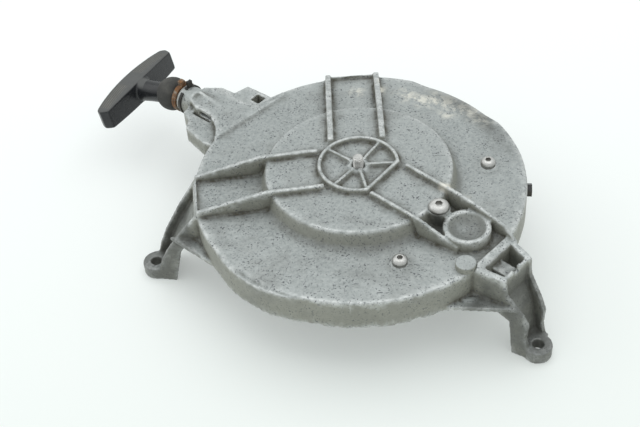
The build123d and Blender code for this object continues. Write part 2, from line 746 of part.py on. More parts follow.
with BuildPart() as sheave_knot:
    with Locations((*knot_at, rope_z)):
        Sphere(knot_r)
save(sheave_knot, "sheave_knot")

# handle frame: seated on the ferrule, a little askew, as it hangs
seat_gap = 2.2
handle_yaw = 11.0
handle_droop = 9.0
handle_deg = tube_dir + handle_yaw
handle_fall = tube_droop + handle_droop
handle_axis = Vector(*polar(cos(radians(handle_fall)), handle_deg), -sin(radians(handle_fall)))
bar_axis = Vector(*polar(1, handle_deg + 90), 0)
seat = outlet_at + axis_out * seat_gap
handle = Plane(origin=seat, x_dir=bar_axis, z_dir=handle_axis)
knot_floor = 24.0                        # where the handle's knot bears, from the seat

leave = Vector(*coil_point(0), rope_z)
leave_dir = Vector(*polar(1, leave_deg - 90), 0)
clear_run = sqrt(flange_r ** 2 - rope_out_r ** 2) + 4    # straight until past the sheave's flange
rope_bends = [60, 20, 40]
rope_points = [
    leave,
    leave + leave_dir * clear_run,
    mouth,
    seat,
    handle.from_local_coords(Vector(0, 0, knot_floor)),
]

with BuildPart() as rope_run:
    with BuildLine():
        FilletPolyline(*rope_points, radius=rope_bends)
    with BuildSketch(Plane(origin=leave, z_dir=leave_dir)):
        Circle(rope_d / 2)
    sweep()
save(rope_run, "rope_run")

# ================= mainspring and its shield =================
spring_z = cavity_z - 1 - strip_w
spring_pitch = (spring_out_r - spring_in_r) / spring_turns


def spiral(offset):
    """Arcs of the spring's spiral, offset from its centre line, outwards from the hub."""
    for k in range(2 * spring_turns):
        r0 = spring_in_r + k * spring_pitch / 2 + offset
        deg = 180 * k
        mid = half_turn(r0, spring_pitch / 2, deg)
        yield polar(r0, deg), mid, polar(r0 + spring_pitch / 2, deg + 180)


anchor_r = 1.45
eye_wall = 1.0
eye_r = anchor_r + seat_gap_r
anchor_at = (spring_out_r + eye_r + eye_wall - strip_t / 2 - gap, 0)

with BuildPart() as mainspring:
    with BuildSketch(Plane.XY.offset(spring_z)):
        with BuildLine():
            for a, b, c in spiral(strip_t / 2):
                ThreePointArc(a, b, c)
            Line((spring_out_r + strip_t / 2, 0), (spring_out_r - strip_t / 2, 0))
            for a, b, c in spiral(-strip_t / 2):
                ThreePointArc(a, b, c)
            Line((spring_in_r - strip_t / 2, 0), (spring_in_r + strip_t / 2, 0))
        make_face()
        with Locations(((hub_r - hub_slot_depth + gap + spring_in_r) / 2, 0)):
            Rectangle(spring_in_r - hub_r + hub_slot_depth - gap, strip_t)
        with Locations(anchor_at):
            Circle(eye_r + eye_wall)
            Circle(eye_r, mode=Mode.SUBTRACT)
    extrude(amount=strip_w)
save(mainspring, "mainspring")

with BuildPart() as spring_anchor_pin:
    with BuildSketch(Plane.XY.offset(deck_under + gap)):
        with Locations(anchor_at):
            Circle(anchor_r)
    extrude(amount=cavity_z - deck_under - gap)
save(spring_anchor_pin, "spring_anchor_pin")

shield_t = 0.8
shield_lap = 6.0         # how far the shield laps under the deck
with BuildPart() as spring_shield:
    with BuildSketch(Plane.XY.offset(deck_under - shield_t)):
        Circle(cavity_r + shield_lap)
        Circle(hub_r + 1, mode=Mode.SUBTRACT)
    extrude(amount=shield_t)
save(spring_shield, "spring_shield")

# ================= pawls, pins, clips, springs =================
pawl_z = deck_z - 21.5
pin_end_z = pawl_z - 1.5
friction_plate_z = pawl_z - 4.2
clip_t = 0.8
clip_lip = 1.8
clip_drop = 0.2          # between pawl and clip
clip_z = pawl_z - clip_drop - clip_t
pin_groove = 0.6
pin_shoulder = 1.4
pin_shoulder_up = 2.6    # room for the pawl's spring over the pawl
eye_ring = 3.2
swing = 25.0
peg_r = 2.0
peg_wall = 1.6
peg_down = 0.5           # peg's end below the friction plate's face
peg_from_pivot = (-9.0, -6.0)
pawl_outline = [
    (4.5, 3.5), (6.0, -2.0), (5.0, -20.5), (2.0, -22.0), (-2.0, -16.0), (-11.0, -7.0), (-6.0, 2.0)]


def turned(x, y, deg):
    c, s = cos(radians(deg)), sin(radians(deg))
    return (x * c - y * s, x * s + y * c)


with BuildPart() as pawl_pins:
    with BuildSketch(Plane.XY.offset(pin_end_z)):
        with Locations((pawl_at, 0), (-pawl_at, 0)):
            Circle(pawl_pin_r)
    extrude(amount=web_high - pin_end_z)
    with BuildSketch(Plane.XY.offset(clip_z)):
        with Locations((pawl_at, 0), (-pawl_at, 0)):
            Circle(pawl_pin_r + 1)
            Circle(pawl_pin_r - pin_groove, mode=Mode.SUBTRACT)
    extrude(amount=clip_t, mode=Mode.SUBTRACT)
    with BuildSketch(Plane.XY.offset(pawl_z + pawl_t + pin_shoulder_up)):
        with Locations((pawl_at, 0), (-pawl_at, 0)):
            Circle(pawl_pin_r + pin_shoulder)
    extrude(amount=web_low - pawl_z - pawl_t - pin_shoulder_up)
save(pawl_pins, "pawl_pins")

with BuildPart() as pawl_clips:
    with BuildSketch(Plane.XY.offset(clip_z)):
        for side in (1, -1):
            with Locations(Location((side * pawl_at, 0, 0), (0, 0, 90 - 90 * side))):
                Circle(pawl_pin_r + clip_lip)
                Circle(pawl_pin_r - pin_groove, mode=Mode.SUBTRACT)
                with Locations((pawl_pin_r + 1, 0)):
                    Rectangle(pawl_pin_r * 2, pawl_pin_r + pin_groove / 2, mode=Mode.SUBTRACT)
    extrude(amount=clip_t)
save(pawl_clips, "pawl_clips")

for name, turn in (("pawl_front", 0), ("pawl_rear", 180)):
    pivot = turned(pawl_at, 0, turn)
    with BuildPart() as pawl:
        with BuildSketch(Plane(origin=(*pivot, pawl_z), x_dir=(*polar(1, turn), 0), z_dir=(0, 0, 1))):
            Circle(pawl_pin_r + eye_ring)
            with BuildLine():
                Polyline(*pawl_outline, close=True)
            make_face()
            with Locations(peg_from_pivot):
                Circle(peg_r + peg_wall)
            Circle(pawl_pin_r + run_gap, mode=Mode.SUBTRACT)
        extrude(amount=pawl_t)
        with BuildSketch(Plane(origin=(*pivot, friction_plate_z - peg_down), x_dir=(*polar(1, turn), 0),
                               z_dir=(0, 0, 1))):
            with Locations(peg_from_pivot):
                Circle(peg_r)
        extrude(amount=pawl_z - friction_plate_z + 2 * peg_down)
    save(pawl, name)

wire_r = 0.55
wire_arm, wire_tail = 16.0, 3.0
spring_coil_r = pawl_pin_r + wire_r + 0.5
with BuildPart() as pawl_springs:
    for turn in (0, 180):
        pivot = turned(pawl_at, 0, turn)
        wire_z = pawl_z + pawl_t + gap + wire_r
        wire_plane = Plane(origin=(*pivot, wire_z), x_dir=(*polar(1, turn), 0), z_dir=(0, 0, 1))
        with BuildLine(wire_plane):
            Line((spring_coil_r, -wire_arm), (spring_coil_r, 0))
            ThreePointArc((spring_coil_r, 0), (0, spring_coil_r), (-spring_coil_r, 0))
            Line((-spring_coil_r, 0), (-spring_coil_r, -wire_tail))
        with BuildSketch(Plane(origin=wire_plane.from_local_coords(Vector(spring_coil_r, -wire_arm, 0)),
                               z_dir=wire_plane.y_dir)):
            Circle(wire_r)
        sweep()
save(pawl_springs, "pawl_springs")

# ================= friction plate =================
friction_plate_r = 40.0
peg_slot_gap = 0.45
finger_hole_r, finger_hole_at = 6.0, 24.0


def peg_in_plate(lag):
    """Where a pawl's peg stands in the plate when the plate lags by that angle."""
    x, y = turned(*peg_from_pivot, lag)
    return turned(pawl_at + x, y, -lag)


peg_path = ThreePointArc(peg_in_plate(0), peg_in_plate(swing / 2), peg_in_plate(swing))
with BuildPart() as friction_plate:
    with BuildSketch(Plane.XY.offset(friction_plate_z)):
        Circle(friction_plate_r)
        Circle(spindle_r + run_gap, mode=Mode.SUBTRACT)
        with PolarLocations(0, 2):
            SlotArc(peg_path, 2 * (peg_r + peg_slot_gap), mode=Mode.SUBTRACT)
        with PolarLocations(finger_hole_at, 2, start_angle=90):
            Circle(finger_hole_r, mode=Mode.SUBTRACT)
    extrude(amount=plate_t)
save(friction_plate, "friction_plate")

with BuildPart() as friction_spring:
    with BuildSketch(Plane.XY.offset(friction_plate_z + plate_t)):
        Circle(retainer_r)
        Circle(spindle_r + 2 * gap, mode=Mode.SUBTRACT)
    extrude(amount=hub_low - bush_proud - seat_gap_r - friction_plate_z - plate_t)
save(friction_spring, "friction_spring")

# ================= neutral lock =================
plunger_tip_r = notch_floor_r + gap + plunger_travel
plunger_out = 1.5        # the plunger's button end stands out of the rim
tip_chamfer = 0.8
collar_r = plunger_r + 2.2
collar_out = rim_r - skirt_t - 0.5
collar_t = 2.0
coil_wall = 1.0
with BuildPart() as lock_plunger:
    with BuildSketch(plunger_plane.offset(plunger_tip_r - lug_in + 1)):
        Circle(plunger_r)
    extrude(amount=rim_r + plunger_out - plunger_tip_r)
    with BuildSketch(plunger_plane.offset(collar_out - collar_t - lug_in + 1)):
        Circle(collar_r)
    extrude(amount=collar_t)
    chamfer(lock_plunger.faces().sort_by(Axis(plunger_plane.origin, plunger_plane.z_dir))[0].edges(),
            tip_chamfer)
save(lock_plunger, "lock_plunger")

with BuildPart() as lock_spring:
    with BuildSketch(plunger_plane.offset(lug_out - lug_in + 1)):
        Circle(plunger_r + gap + coil_wall)
        Circle(plunger_r + gap, mode=Mode.SUBTRACT)
    extrude(amount=collar_out - collar_t - lug_out)
save(lock_spring, "lock_spring")

# ================= screws, keepers, plug =================
keeper_out = 6.0
keeper_in = flange_r + 1.5
keeper_w = 14.0
keeper_drop = 2.2        # below the sheave's lower face
lip_reach = 4.5
lip_t = 1.7
with BuildPart() as rope_keepers:
    for at in keeper_screws_at:
        deg = degrees(atan2(at[1], at[0]))
        r = hypot(*at)
        with BuildSketch(level(deg, sheave_low - keeper_drop)):
            with Locations(((keeper_in + r + keeper_out) / 2, 0)):
                Rectangle(r + keeper_out - keeper_in, keeper_w)
        extrude(amount=deck_under - sheave_low + keeper_drop)
        with BuildSketch(level(deg, sheave_low - keeper_drop)):
            with Locations((keeper_in - lip_reach / 2 + 0.5, 0)):
                Rectangle(lip_reach + 1, keeper_w)
        extrude(amount=lip_t)
    with BuildSketch(Plane.XY.offset(sheave_low - keeper_drop - 1)):
        with Locations(*keeper_screws_at):
            Circle(m6_clear_r)
    extrude(amount=deck_z, mode=Mode.SUBTRACT)
save(rope_keepers, "rope_keepers")

button_r, button_h = 5.7, 5.0


def button_screw(at, end_z, seat_z, head_r, head_h, brim_h, socket_r):
    """Socket screw with a domed head: plain shank below its seat, rounded head over it."""
    top = seat_z + head_h
    with BuildPart() as screw:
        with BuildSketch(Plane(origin=(*at, 0), x_dir=(1, 0, 0), z_dir=(0, -1, 0))):
            with BuildLine():
                Polyline((0, end_z), (m6_r, end_z), (m6_r, seat_z), (head_r, seat_z),
                         (head_r, seat_z + brim_h))
                ThreePointArc((head_r, seat_z + brim_h), (0.81 * head_r, top - 0.2 * head_h),
                              (0.5 * head_r, top))
                Polyline((0.5 * head_r, top), (0, top), (0, end_z))
            make_face()
        revolve(axis=Axis((*at, 0), (0, 0, 1)))
        with BuildSketch(Plane.XY.offset(top - 0.55 * head_h)):
            with Locations(at):
                RegularPolygon(socket_r, 6, major_radius=False)
        extrude(amount=head_h, mode=Mode.SUBTRACT)
    return screw.part


keeper_screw_parts = [
    button_screw(at, sheave_low + 1, deck_z + screw_pad_h, button_r, button_h, 2.4, 2.0)
    for at in keeper_screws_at
]
with BuildPart() as keeper_screws:
    for screw in keeper_screw_parts:
        add(screw)
save(keeper_screws, "keeper_screws")

hook_top = deck_z + hook_boss_h
hook_screw_part = button_screw(
    hook_screw_at, hook_top - hook_thread + 1, hook_top, hook_head_r, hook_head_h, 1.6, 2.5)
with BuildPart() as hook_screw:
    add(hook_screw_part)
save(hook_screw, "hook_screw")

plug_fillet = 1.0
with BuildPart() as boss_plug:
    with BuildSketch(Plane.XY.offset(deck_z)):
        with Locations(plug_at):
            Circle(plug_r)
    extrude(amount=plug_h)
    fillet(boss_plug.edges().group_by(Axis.Z)[-1], plug_fillet)
    with BuildSketch(Plane.XY.offset(deck_under)):
        with Locations(plug_at):
            Circle(plug_spigot_r)
    extrude(amount=deck_t)
save(boss_plug, "boss_plug")

rim_head_r, rim_head_h = 4.5, 3.4
with BuildPart() as rim_screw:
    with BuildSketch(rim_screw_plane.offset(gap)):
        RegularPolygon(rim_head_r, 6, major_radius=False)
    extrude(amount=rim_head_h)
    with BuildSketch(rim_screw_plane.offset(gap)):
        Circle(rim_screw_r)
    extrude(amount=-skirt_t - 1.5)
save(rim_screw, "rim_screw")

# ================= ferrule and clip at the outlet =================
ferrule_r = tube_r + 1.2
ferrule_bore_r = rope_d / 2 + 0.9
prong_w, prong_h = 4.5, 7.0
clip_back = 3.5          # clip's face, back from the tube's end
clip_w = 2.6
clip_slit = 4.0
with BuildPart() as rope_ferrule:
    with BuildSketch(outlet):
        Circle(ferrule_r)
        with Locations((0, ferrule_r)):
            Rectangle(prong_w, prong_h)
    extrude(amount=-ferrule_t)
    with BuildSketch(outlet.offset(-ferrule_t)):
        Circle(ferrule_spigot_r)
    extrude(amount=-ferrule_spigot)
    with BuildSketch(outlet):
        Circle(ferrule_bore_r)
    extrude(amount=-ferrule_t - ferrule_spigot - 1, mode=Mode.SUBTRACT)
save(rope_ferrule, "rope_ferrule")

with BuildPart() as ferrule_clip:
    with BuildSketch(outlet.offset(tube_face - clip_back)):
        Circle(ferrule_r)
        with Locations((-prong_w / 2, tube_r + prong_w / 2)):
            Rectangle(prong_w, prong_h)
        with Locations((prong_w, tube_r)):
            Rectangle(clip_slit, prong_h, mode=Mode.SUBTRACT)
        Circle(tube_r + seat_gap_r, mode=Mode.SUBTRACT)
    extrude(amount=-clip_w)
save(ferrule_clip, "ferrule_clip")

# ================= handle =================
collar_out_r = 14.0
insert_r = 6.0
insert_room = insert_r + seat_gap_r
insert_end = knot_floor + 9.0
stem_from = 17.0
collar_mouth_r, collar_lip = 6.8, (11.8, 2.2)
collar_belly_at, collar_shoulder = 8.5, (12.9, 13.8)
collar_end_r = 10.8
with BuildPart() as grip_collar:
    with BuildSketch(Plane.XZ) as collar_profile:
        with BuildLine():
            Polyline((insert_room, 0), (collar_mouth_r, 0))
            ThreePointArc((collar_mouth_r, 0), collar_lip, (collar_out_r, collar_belly_at))
            ThreePointArc((collar_out_r, collar_belly_at), collar_shoulder, (collar_end_r, stem_from))
            Polyline((collar_end_r, stem_from), (insert_room, stem_from), (insert_room, 0))
        make_face()
    revolve(axis=Axis.Z)
grip_collar.part = handle.location * grip_collar.part
save(grip_collar, "grip_collar")

bar_half = 48.0
bar_plane = Plane(origin=seat, x_dir=bar_axis, z_dir=bar_axis.cross(handle_axis))
bar_t_mid, bar_t_end = 20.0, 17.0
bar_back = 59.5                          # outer face of the bar at its middle, from the seat
bar_shoulder = (45.5, 53.5)              # where the outer face ends, beside the middle and from the seat
bar_end = (bar_half, 48.5)
bar_inner_end = (45.0, 41.5)
bar_inner_mid = 40.5
stem_half = 9.0
stem_waist = (8.9, 28.0)
stem_root = (9.8, bar_inner_mid + 1.0)


def mirrored(point):
    return (-point[0], point[1])


with BuildPart() as grip:
    with BuildSketch(bar_plane):
        with BuildLine():
            ThreePointArc(mirrored(bar_shoulder), (0, bar_back), bar_shoulder)
            Polyline(bar_shoulder, bar_end, bar_inner_end)
            ThreePointArc(bar_inner_end, (0, bar_inner_mid), mirrored(bar_inner_end))
            Polyline(mirrored(bar_inner_end), mirrored(bar_end), mirrored(bar_shoulder))
        make_face()
    extrude(amount=bar_t_mid / 2, both=True)
    with BuildSketch(handle):
        end, half_end, half_mid = bar_half + 1, bar_t_end / 2, bar_t_mid / 2
        with BuildLine():
            Polyline((-end, -half_end), (-end, half_end))
            ThreePointArc((-end, half_end), (0, half_mid), (end, half_end))
            Polyline((end, half_end), (end, -half_end))
            ThreePointArc((end, -half_end), (0, -half_mid), (-end, -half_end))
        make_face()
    extrude(amount=bar_back + 1, mode=Mode.INTERSECT)
    # round stem, flared into the bar
    with BuildSketch(bar_plane):
        with BuildLine():
            Polyline((0, stem_from), (stem_half, stem_from))
            ThreePointArc((stem_half, stem_from), stem_waist, stem_root)
            Polyline(stem_root, (0, stem_root[1]), (0, stem_from))
        make_face()
    revolve(axis=Axis(seat, handle_axis))
    with BuildSketch(handle.offset(stem_from)):
        Circle(insert_room)
    extrude(amount=insert_end - stem_from + seat_gap_r, mode=Mode.SUBTRACT)
save(grip, "grip")

insert_from = 0.5
insert_wall = 1.2
with BuildPart() as knot_insert:
    with BuildSketch(handle.offset(insert_from)):
        Circle(insert_r)
        Circle(rope_d / 2 + gap, mode=Mode.SUBTRACT)
    extrude(amount=knot_floor - insert_from)
    with BuildSketch(handle.offset(knot_floor)):
        Circle(insert_r)
        Circle(insert_r - insert_wall, mode=Mode.SUBTRACT)
    extrude(amount=insert_end - knot_floor)
save(knot_insert, "knot_insert")

tied_h = 7.5
tied_fillet = 2.4
with BuildPart() as handle_knot:
    with BuildSketch(handle.offset(knot_floor)):
        Circle(insert_r - insert_wall - gap)
    extrude(amount=tied_h)
    fillet(handle_knot.edges().filter_by(GeomType.CIRCLE), tied_fillet)
save(handle_knot, "handle_knot")
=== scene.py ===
import json
from math import atan2, cos, degrees, pi, radians, sin

import bmesh
import bpy
import numpy as np
from mathutils import Matrix, Vector, noise


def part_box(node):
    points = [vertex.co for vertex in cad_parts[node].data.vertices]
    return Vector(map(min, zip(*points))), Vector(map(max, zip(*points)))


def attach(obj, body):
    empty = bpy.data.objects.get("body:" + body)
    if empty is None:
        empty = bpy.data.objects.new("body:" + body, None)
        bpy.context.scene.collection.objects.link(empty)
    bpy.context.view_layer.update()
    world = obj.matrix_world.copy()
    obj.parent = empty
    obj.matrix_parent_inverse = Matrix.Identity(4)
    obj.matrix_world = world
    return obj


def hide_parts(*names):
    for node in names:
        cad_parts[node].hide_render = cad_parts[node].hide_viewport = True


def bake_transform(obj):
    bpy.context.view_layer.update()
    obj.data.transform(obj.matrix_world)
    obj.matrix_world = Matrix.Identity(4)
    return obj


# Rewind starter of a small outboard engine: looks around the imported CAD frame. Metres, +Z up.
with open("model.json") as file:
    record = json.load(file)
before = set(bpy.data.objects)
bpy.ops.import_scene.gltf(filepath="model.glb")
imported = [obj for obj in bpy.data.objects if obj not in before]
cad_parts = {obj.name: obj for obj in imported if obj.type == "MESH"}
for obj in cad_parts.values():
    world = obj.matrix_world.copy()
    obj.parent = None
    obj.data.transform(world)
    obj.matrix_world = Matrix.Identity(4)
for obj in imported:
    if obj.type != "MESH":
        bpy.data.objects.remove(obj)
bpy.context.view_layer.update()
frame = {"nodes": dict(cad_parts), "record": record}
MM = 0.001


# ---------------------------------------------------------------- places read from the frame
def middle(node):
    low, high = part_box(node)
    return (low + high) / 2


def points_of(node):
    """All vertices of a CAD node, as rows of x, y, z."""
    return np.array([v.co for v in frame["nodes"][node].data.vertices], float)


def plan_angle(point):
    return degrees(atan2(point[1], point[0]))


def polar(r, deg, z=0.0):
    return Vector((r * cos(radians(deg)), r * sin(radians(deg)), z))


WALL = 4 * MM                                     # deck of the casting
EDGE_ROUND = 1.2 * MM                             # fillet round the deck
SKIRT_DEPTH = 25 * MM                             # deck to the skirt's lower edge
joints = {j["name"]: j for j in frame["record"]["behaviour"]["joints"]}
pull_axis = Vector(joints["handle_pull"]["axis"]).normalized()
neck_dir = plan_angle(middle("rope_ferrule"))      # the arm that carries the rope outlet
push_axis = Vector(joints["lock_push"]["axis"]).normalized()
deck_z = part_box("spring_shield")[1].z + WALL
shell_points = points_of("housing")
on_deck = np.abs(shell_points[:, 2] - deck_z) < 0.1 * MM
bearing = np.degrees(np.arctan2(shell_points[:, 1], shell_points[:, 0]))
plain_rim = on_deck & (bearing > -30) & (bearing < -15)
rim_r = float(np.hypot(shell_points[plain_rim, 0], shell_points[plain_rim, 1]).max()) + EDGE_ROUND
skirt_low = deck_z - SKIRT_DEPTH


# ---------------------------------------------------------------- camera, lights and floor
def camera():
    """Long lens from the front, about 44 degrees above the horizon, tilted a little to one side."""
    data = bpy.data.cameras.new("camera")
    data.lens = 67.5
    data.sensor_width = 36.0
    data.clip_start, data.clip_end = 0.05, 20.0
    obj = bpy.data.objects.new("camera", data)
    obj.location = (-0.0315, -0.6635, 0.6809)
    look, roll = radians(44.12), radians(-4.92)
    forward = Vector((0, cos(look), -sin(look)))
    right, up = Vector((1, 0, 0)), Vector((0, sin(look), cos(look)))
    tilted_right = cos(roll) * right + sin(roll) * up
    tilted_up = cos(roll) * up - sin(roll) * right
    obj.matrix_world = Matrix.Translation(obj.location) @ Matrix(
        (tilted_right, tilted_up, -forward)).transposed().to_4x4()
    bpy.context.scene.collection.objects.link(obj)
    bpy.context.scene.camera = obj


def area_light(name, location, target, size, power):
    data = bpy.data.lights.new(name, "AREA")
    data.shape = "RECTANGLE"
    data.size, data.size_y = size
    data.energy = power
    obj = bpy.data.objects.new(name, data)
    obj.location = location
    obj.rotation_mode = "QUATERNION"
    obj.rotation_quaternion = (Vector(target) - Vector(location)).to_track_quat("-Z", "Y")
    bpy.context.scene.collection.objects.link(obj)


def studio():
    """Pale surround and two large soft lights, one above and one from the left."""
    bpy.context.scene.view_settings.view_transform = "Standard"
    world = bpy.data.worlds.new("studio")
    bpy.context.scene.world = world
    world.use_nodes = True
    back = world.node_tree.nodes["Background"]
    back.inputs["Color"].default_value = (0.97, 1.0, 1.0, 1)
    back.inputs["Strength"].default_value = 0.86
    area_light("overhead", (0.10, 0.25, 1.5), (0, 0, 0.05), (2.0, 1.6), 9.5)
    area_light("window", (-1.3, 0.5, 0.9), (0, 0, 0.05), (1.2, 0.9), 2.5)


# ---------------------------------------------------------------- materials
class Finish:
    """One procedural material, built by short calls; its textures lie in the part's own frame."""

    def __init__(self, name, base=(0.5, 0.5, 0.5), metallic=0.0, roughness=0.5, specular=0.5):
        self.material = bpy.data.materials.new(name)
        self.material.use_nodes = True
        self.tree = self.material.node_tree
        self.shader = self.tree.nodes["Principled BSDF"]
        self.shader.inputs["Base Color"].default_value = (*base, 1)
        self.shader.inputs["Metallic"].default_value = metallic
        self.shader.inputs["Roughness"].default_value = roughness
        self.shader.inputs["Specular IOR Level"].default_value = specular
        self.place = self.tree.nodes.new("ShaderNodeTexCoord").outputs["Object"]

    def feed(self, node, name, value):
        socket = node.inputs[name]
        if isinstance(value, bpy.types.NodeSocket):
            self.tree.links.new(value, socket)
        elif isinstance(value, (tuple, list)) and socket.type == "RGBA":
            socket.default_value = (*value, 1)
        else:
            socket.default_value = value

    def add(self, kind, settings=(), **inputs):
        node = self.tree.nodes.new(kind)
        for name, value in dict(settings).items():
            setattr(node, name, value)
        for name, value in inputs.items():
            self.feed(node, name.replace("_", " "), value)
        return node

    def noise(self, size, detail=4.0, rough=0.55, twist=0.0):
        """Cloudy value around 0.5 whose lumps are about size metres wide."""
        node = self.add("ShaderNodeTexNoise", Scale=0.6 / size, Detail=detail, Roughness=rough,
                        Distortion=twist, Vector=self.place)
        return node.outputs["Fac"]

    def cells(self, size):
        node = self.add("ShaderNodeTexVoronoi", Scale=1 / size, Vector=self.place)
        return node.outputs["Distance"]

    def band(self, value, low, high, to_low=0.0, to_high=1.0):
        """value from low..high mapped to to_low..to_high, held at the ends."""
        node = self.tree.nodes.new("ShaderNodeMapRange")
        self.tree.links.new(value, node.inputs[0])
        for at, number in enumerate((low, high, to_low, to_high)):
            node.inputs[at + 1].default_value = number
        return node.outputs[0]

    def calc(self, operation, a, b):
        """One step of arithmetic; what ADD, SUBTRACT and MULTIPLY give is held to 0..1."""
        node = self.tree.nodes.new("ShaderNodeMath")
        node.operation = operation
        node.use_clamp = operation in ("ADD", "SUBTRACT", "MULTIPLY")
        for at, value in enumerate((a, b)):
            if isinstance(value, bpy.types.NodeSocket):
                self.tree.links.new(value, node.inputs[at])
            else:
                node.inputs[at].default_value = value
        return node.outputs[0]

    def mix(self, share, a, b):
        node = self.tree.nodes.new("ShaderNodeMix")
        node.data_type = "RGBA"
        for at, value in ((0, share), (6, a), (7, b)):
            if isinstance(value, bpy.types.NodeSocket):
                self.tree.links.new(value, node.inputs[at])
            else:
                node.inputs[at].default_value = value if at == 0 else (*value, 1)
        return node.outputs[2]

    def layer(self, name):
        """A value stored on the mesh."""
        return self.add("ShaderNodeAttribute", {"attribute_name": name}).outputs["Fac"]

    def part_of_place(self, axis):
        return self.add("ShaderNodeSeparateXYZ", Vector=self.place).outputs[axis]

    def facing(self, axis):
        """How far the surface faces along a world axis, from -1 to 1."""
        normal = self.add("ShaderNodeNewGeometry").outputs["Normal"]
        return self.add("ShaderNodeSeparateXYZ", Vector=normal).outputs[axis]

    def colour(self, value):
        self.feed(self.shader, "Base Color", value)

    def roughness(self, value):
        self.feed(self.shader, "Roughness", value)

    def metallic(self, value):
        self.feed(self.shader, "Metallic", value)

    def bump(self, height, depth, strength=1.0):
        """Roughens the surface by height, which is 0..1 over a depth in metres."""
        node = self.add("ShaderNodeBump", Height=height, Distance=depth, Strength=strength)
        self.tree.links.new(node.outputs["Normal"], self.shader.inputs["Normal"])


def casting_finish():
    """Old sand-rough aluminium: dark pores, grime and painted shade in the creases and on the walls, painted
    shade on the undersides, bright worn edges, white corrosion.
    """
    f = Finish("cast_aluminium", metallic=0.55, roughness=0.55)
    clouds = f.noise(60 * MM, 5, 0.6)
    patches = f.noise(9 * MM, 4, 0.65)
    grain = f.noise(1.6 * MM, 3, 0.7)
    grey = f.mix(f.band(clouds, 0.35, 0.65), (0.27, 0.295, 0.292), (0.37, 0.395, 0.39))
    grey = f.mix(f.band(patches, 0.3, 0.7, 0.0, 0.5), grey, (0.245, 0.265, 0.26))
    grey = f.mix(f.band(grain, 0.35, 0.65, 0.0, 0.55), grey, (0.45, 0.475, 0.465))
    # grime and painted shade: steep walls are coloured darker and browner than the deck
    steep = f.band(f.facing("Z"), 0.25, 0.85, 1.0, 0.0)
    wall_grime_and_shade = f.mix(f.noise(14 * MM, 5, 0.7), (0.13, 0.128, 0.098), (0.33, 0.325, 0.26))
    grey = f.mix(f.calc("MULTIPLY", steep, 0.75), grey, wall_grime_and_shade)
    # painted shade: faces that point down are darkened
    underside_shade = f.band(f.facing("Z"), -0.7, -0.2, 1.0, 0.0)
    grey = f.mix(f.calc("MULTIPLY", underside_shade, 0.6), grey, (0.15, 0.15, 0.14))
    soot = f.band(f.noise(30 * MM, 6, 0.7, 0.4), 0.52, 0.70, 0.0, 0.45)
    grey = f.mix(soot, grey, (0.15, 0.155, 0.145))
    # grime and painted shade: hollows and creases are darkened
    crease = f.calc("MULTIPLY", f.layer("crease"), f.band(f.noise(5 * MM, 5, 0.7), 0.3, 0.6, 0.35, 1.0))
    grey = f.mix(crease, grey, (0.060, 0.056, 0.040))
    edge = f.calc("MULTIPLY", f.layer("edge"), f.band(f.noise(3.5 * MM, 4, 0.6), 0.38, 0.62, 0.1, 0.85))
    grey = f.mix(edge, grey, (0.58, 0.60, 0.59))
    pores = f.calc("MULTIPLY", f.band(f.noise(0.9 * MM, 2, 0.6), 0.575, 0.67),
                   f.band(f.noise(7 * MM, 3, 0.6), 0.40, 0.60, 0.3, 1.0))
    grey = f.mix(pores, grey, (0.075, 0.08, 0.09))
    crust_site = f.calc("MULTIPLY", f.layer("crust"), f.band(f.noise(6 * MM, 6, 0.75, 0.5), 0.47, 0.56))
    grey = f.mix(crust_site, grey, (0.66, 0.65, 0.58))
    # dark stains on the rim and the legs, and the painted shadow of the hook screw
    grey = f.mix(f.calc("MULTIPLY", f.layer("stain_and_shadow"), f.band(f.noise(11 * MM, 5, 0.7), 0.3, 0.55, 0.3, 1.0)),
                 grey, (0.085, 0.088, 0.08))
    grey = f.mix(f.calc("MULTIPLY", f.layer("paint"), f.band(f.noise(4 * MM, 5, 0.7), 0.40, 0.47)),
                 grey, (0.80, 0.76, 0.66))
    f.colour(grey)
    rough = f.calc("ADD", f.band(patches, 0.3, 0.7, 0.42, 0.60), f.calc("MULTIPLY", crease, 0.3))
    f.roughness(f.calc("SUBTRACT", rough, f.calc("MULTIPLY", edge, 0.2)))
    f.metallic(f.band(f.calc("ADD", f.calc("ADD", crease, crust_site), steep), 0.0, 1.0, 0.45, 0.05))
    height = f.calc("ADD", f.calc("MULTIPLY", grain, 0.45), f.calc("MULTIPLY", patches, 0.35))
    height = f.calc("SUBTRACT", height, f.calc("MULTIPLY", pores, 0.5))
    height = f.calc("ADD", height, f.calc("MULTIPLY", crust_site, 0.3))
    f.bump(height, 0.35 * MM, 0.8)
    return f.material


def machined_finish(name, light, dark, lines, roughness=0.35, grime=0.4):
    """Turned or stamped metal with fine tool lines round the crank axis and dirt in patches."""
    f = Finish(name, metallic=0.9, roughness=roughness)
    radius = f.add("ShaderNodeVectorMath", {"operation": "LENGTH"})
    flat = f.add("ShaderNodeVectorMath", {"operation": "MULTIPLY"})
    f.tree.links.new(f.place, flat.inputs[0])
    flat.inputs[1].default_value = (1, 1, 0)
    f.tree.links.new(flat.outputs[0], radius.inputs[0])
    turning = f.add("ShaderNodeTexNoise", {"noise_dimensions": "1D"}, Scale=1 / lines, Detail=3.0)
    f.tree.links.new(radius.outputs["Value"], turning.inputs["W"])
    dirt = f.band(f.noise(12 * MM, 6, 0.7), 0.45, 0.7, 0.0, grime)
    metal = f.mix(f.band(turning.outputs["Fac"], 0.3, 0.7), light, dark)
    f.colour(f.mix(dirt, metal, (0.10, 0.09, 0.07)))
    f.roughness(f.band(f.noise(5 * MM, 4, 0.6), 0.3, 0.7, roughness - 0.08, roughness + 0.15))
    f.bump(f.calc("ADD", f.calc("MULTIPLY", turning.outputs["Fac"], 0.5), f.noise(0.8 * MM, 3)), 0.05 * MM)
    return f.material


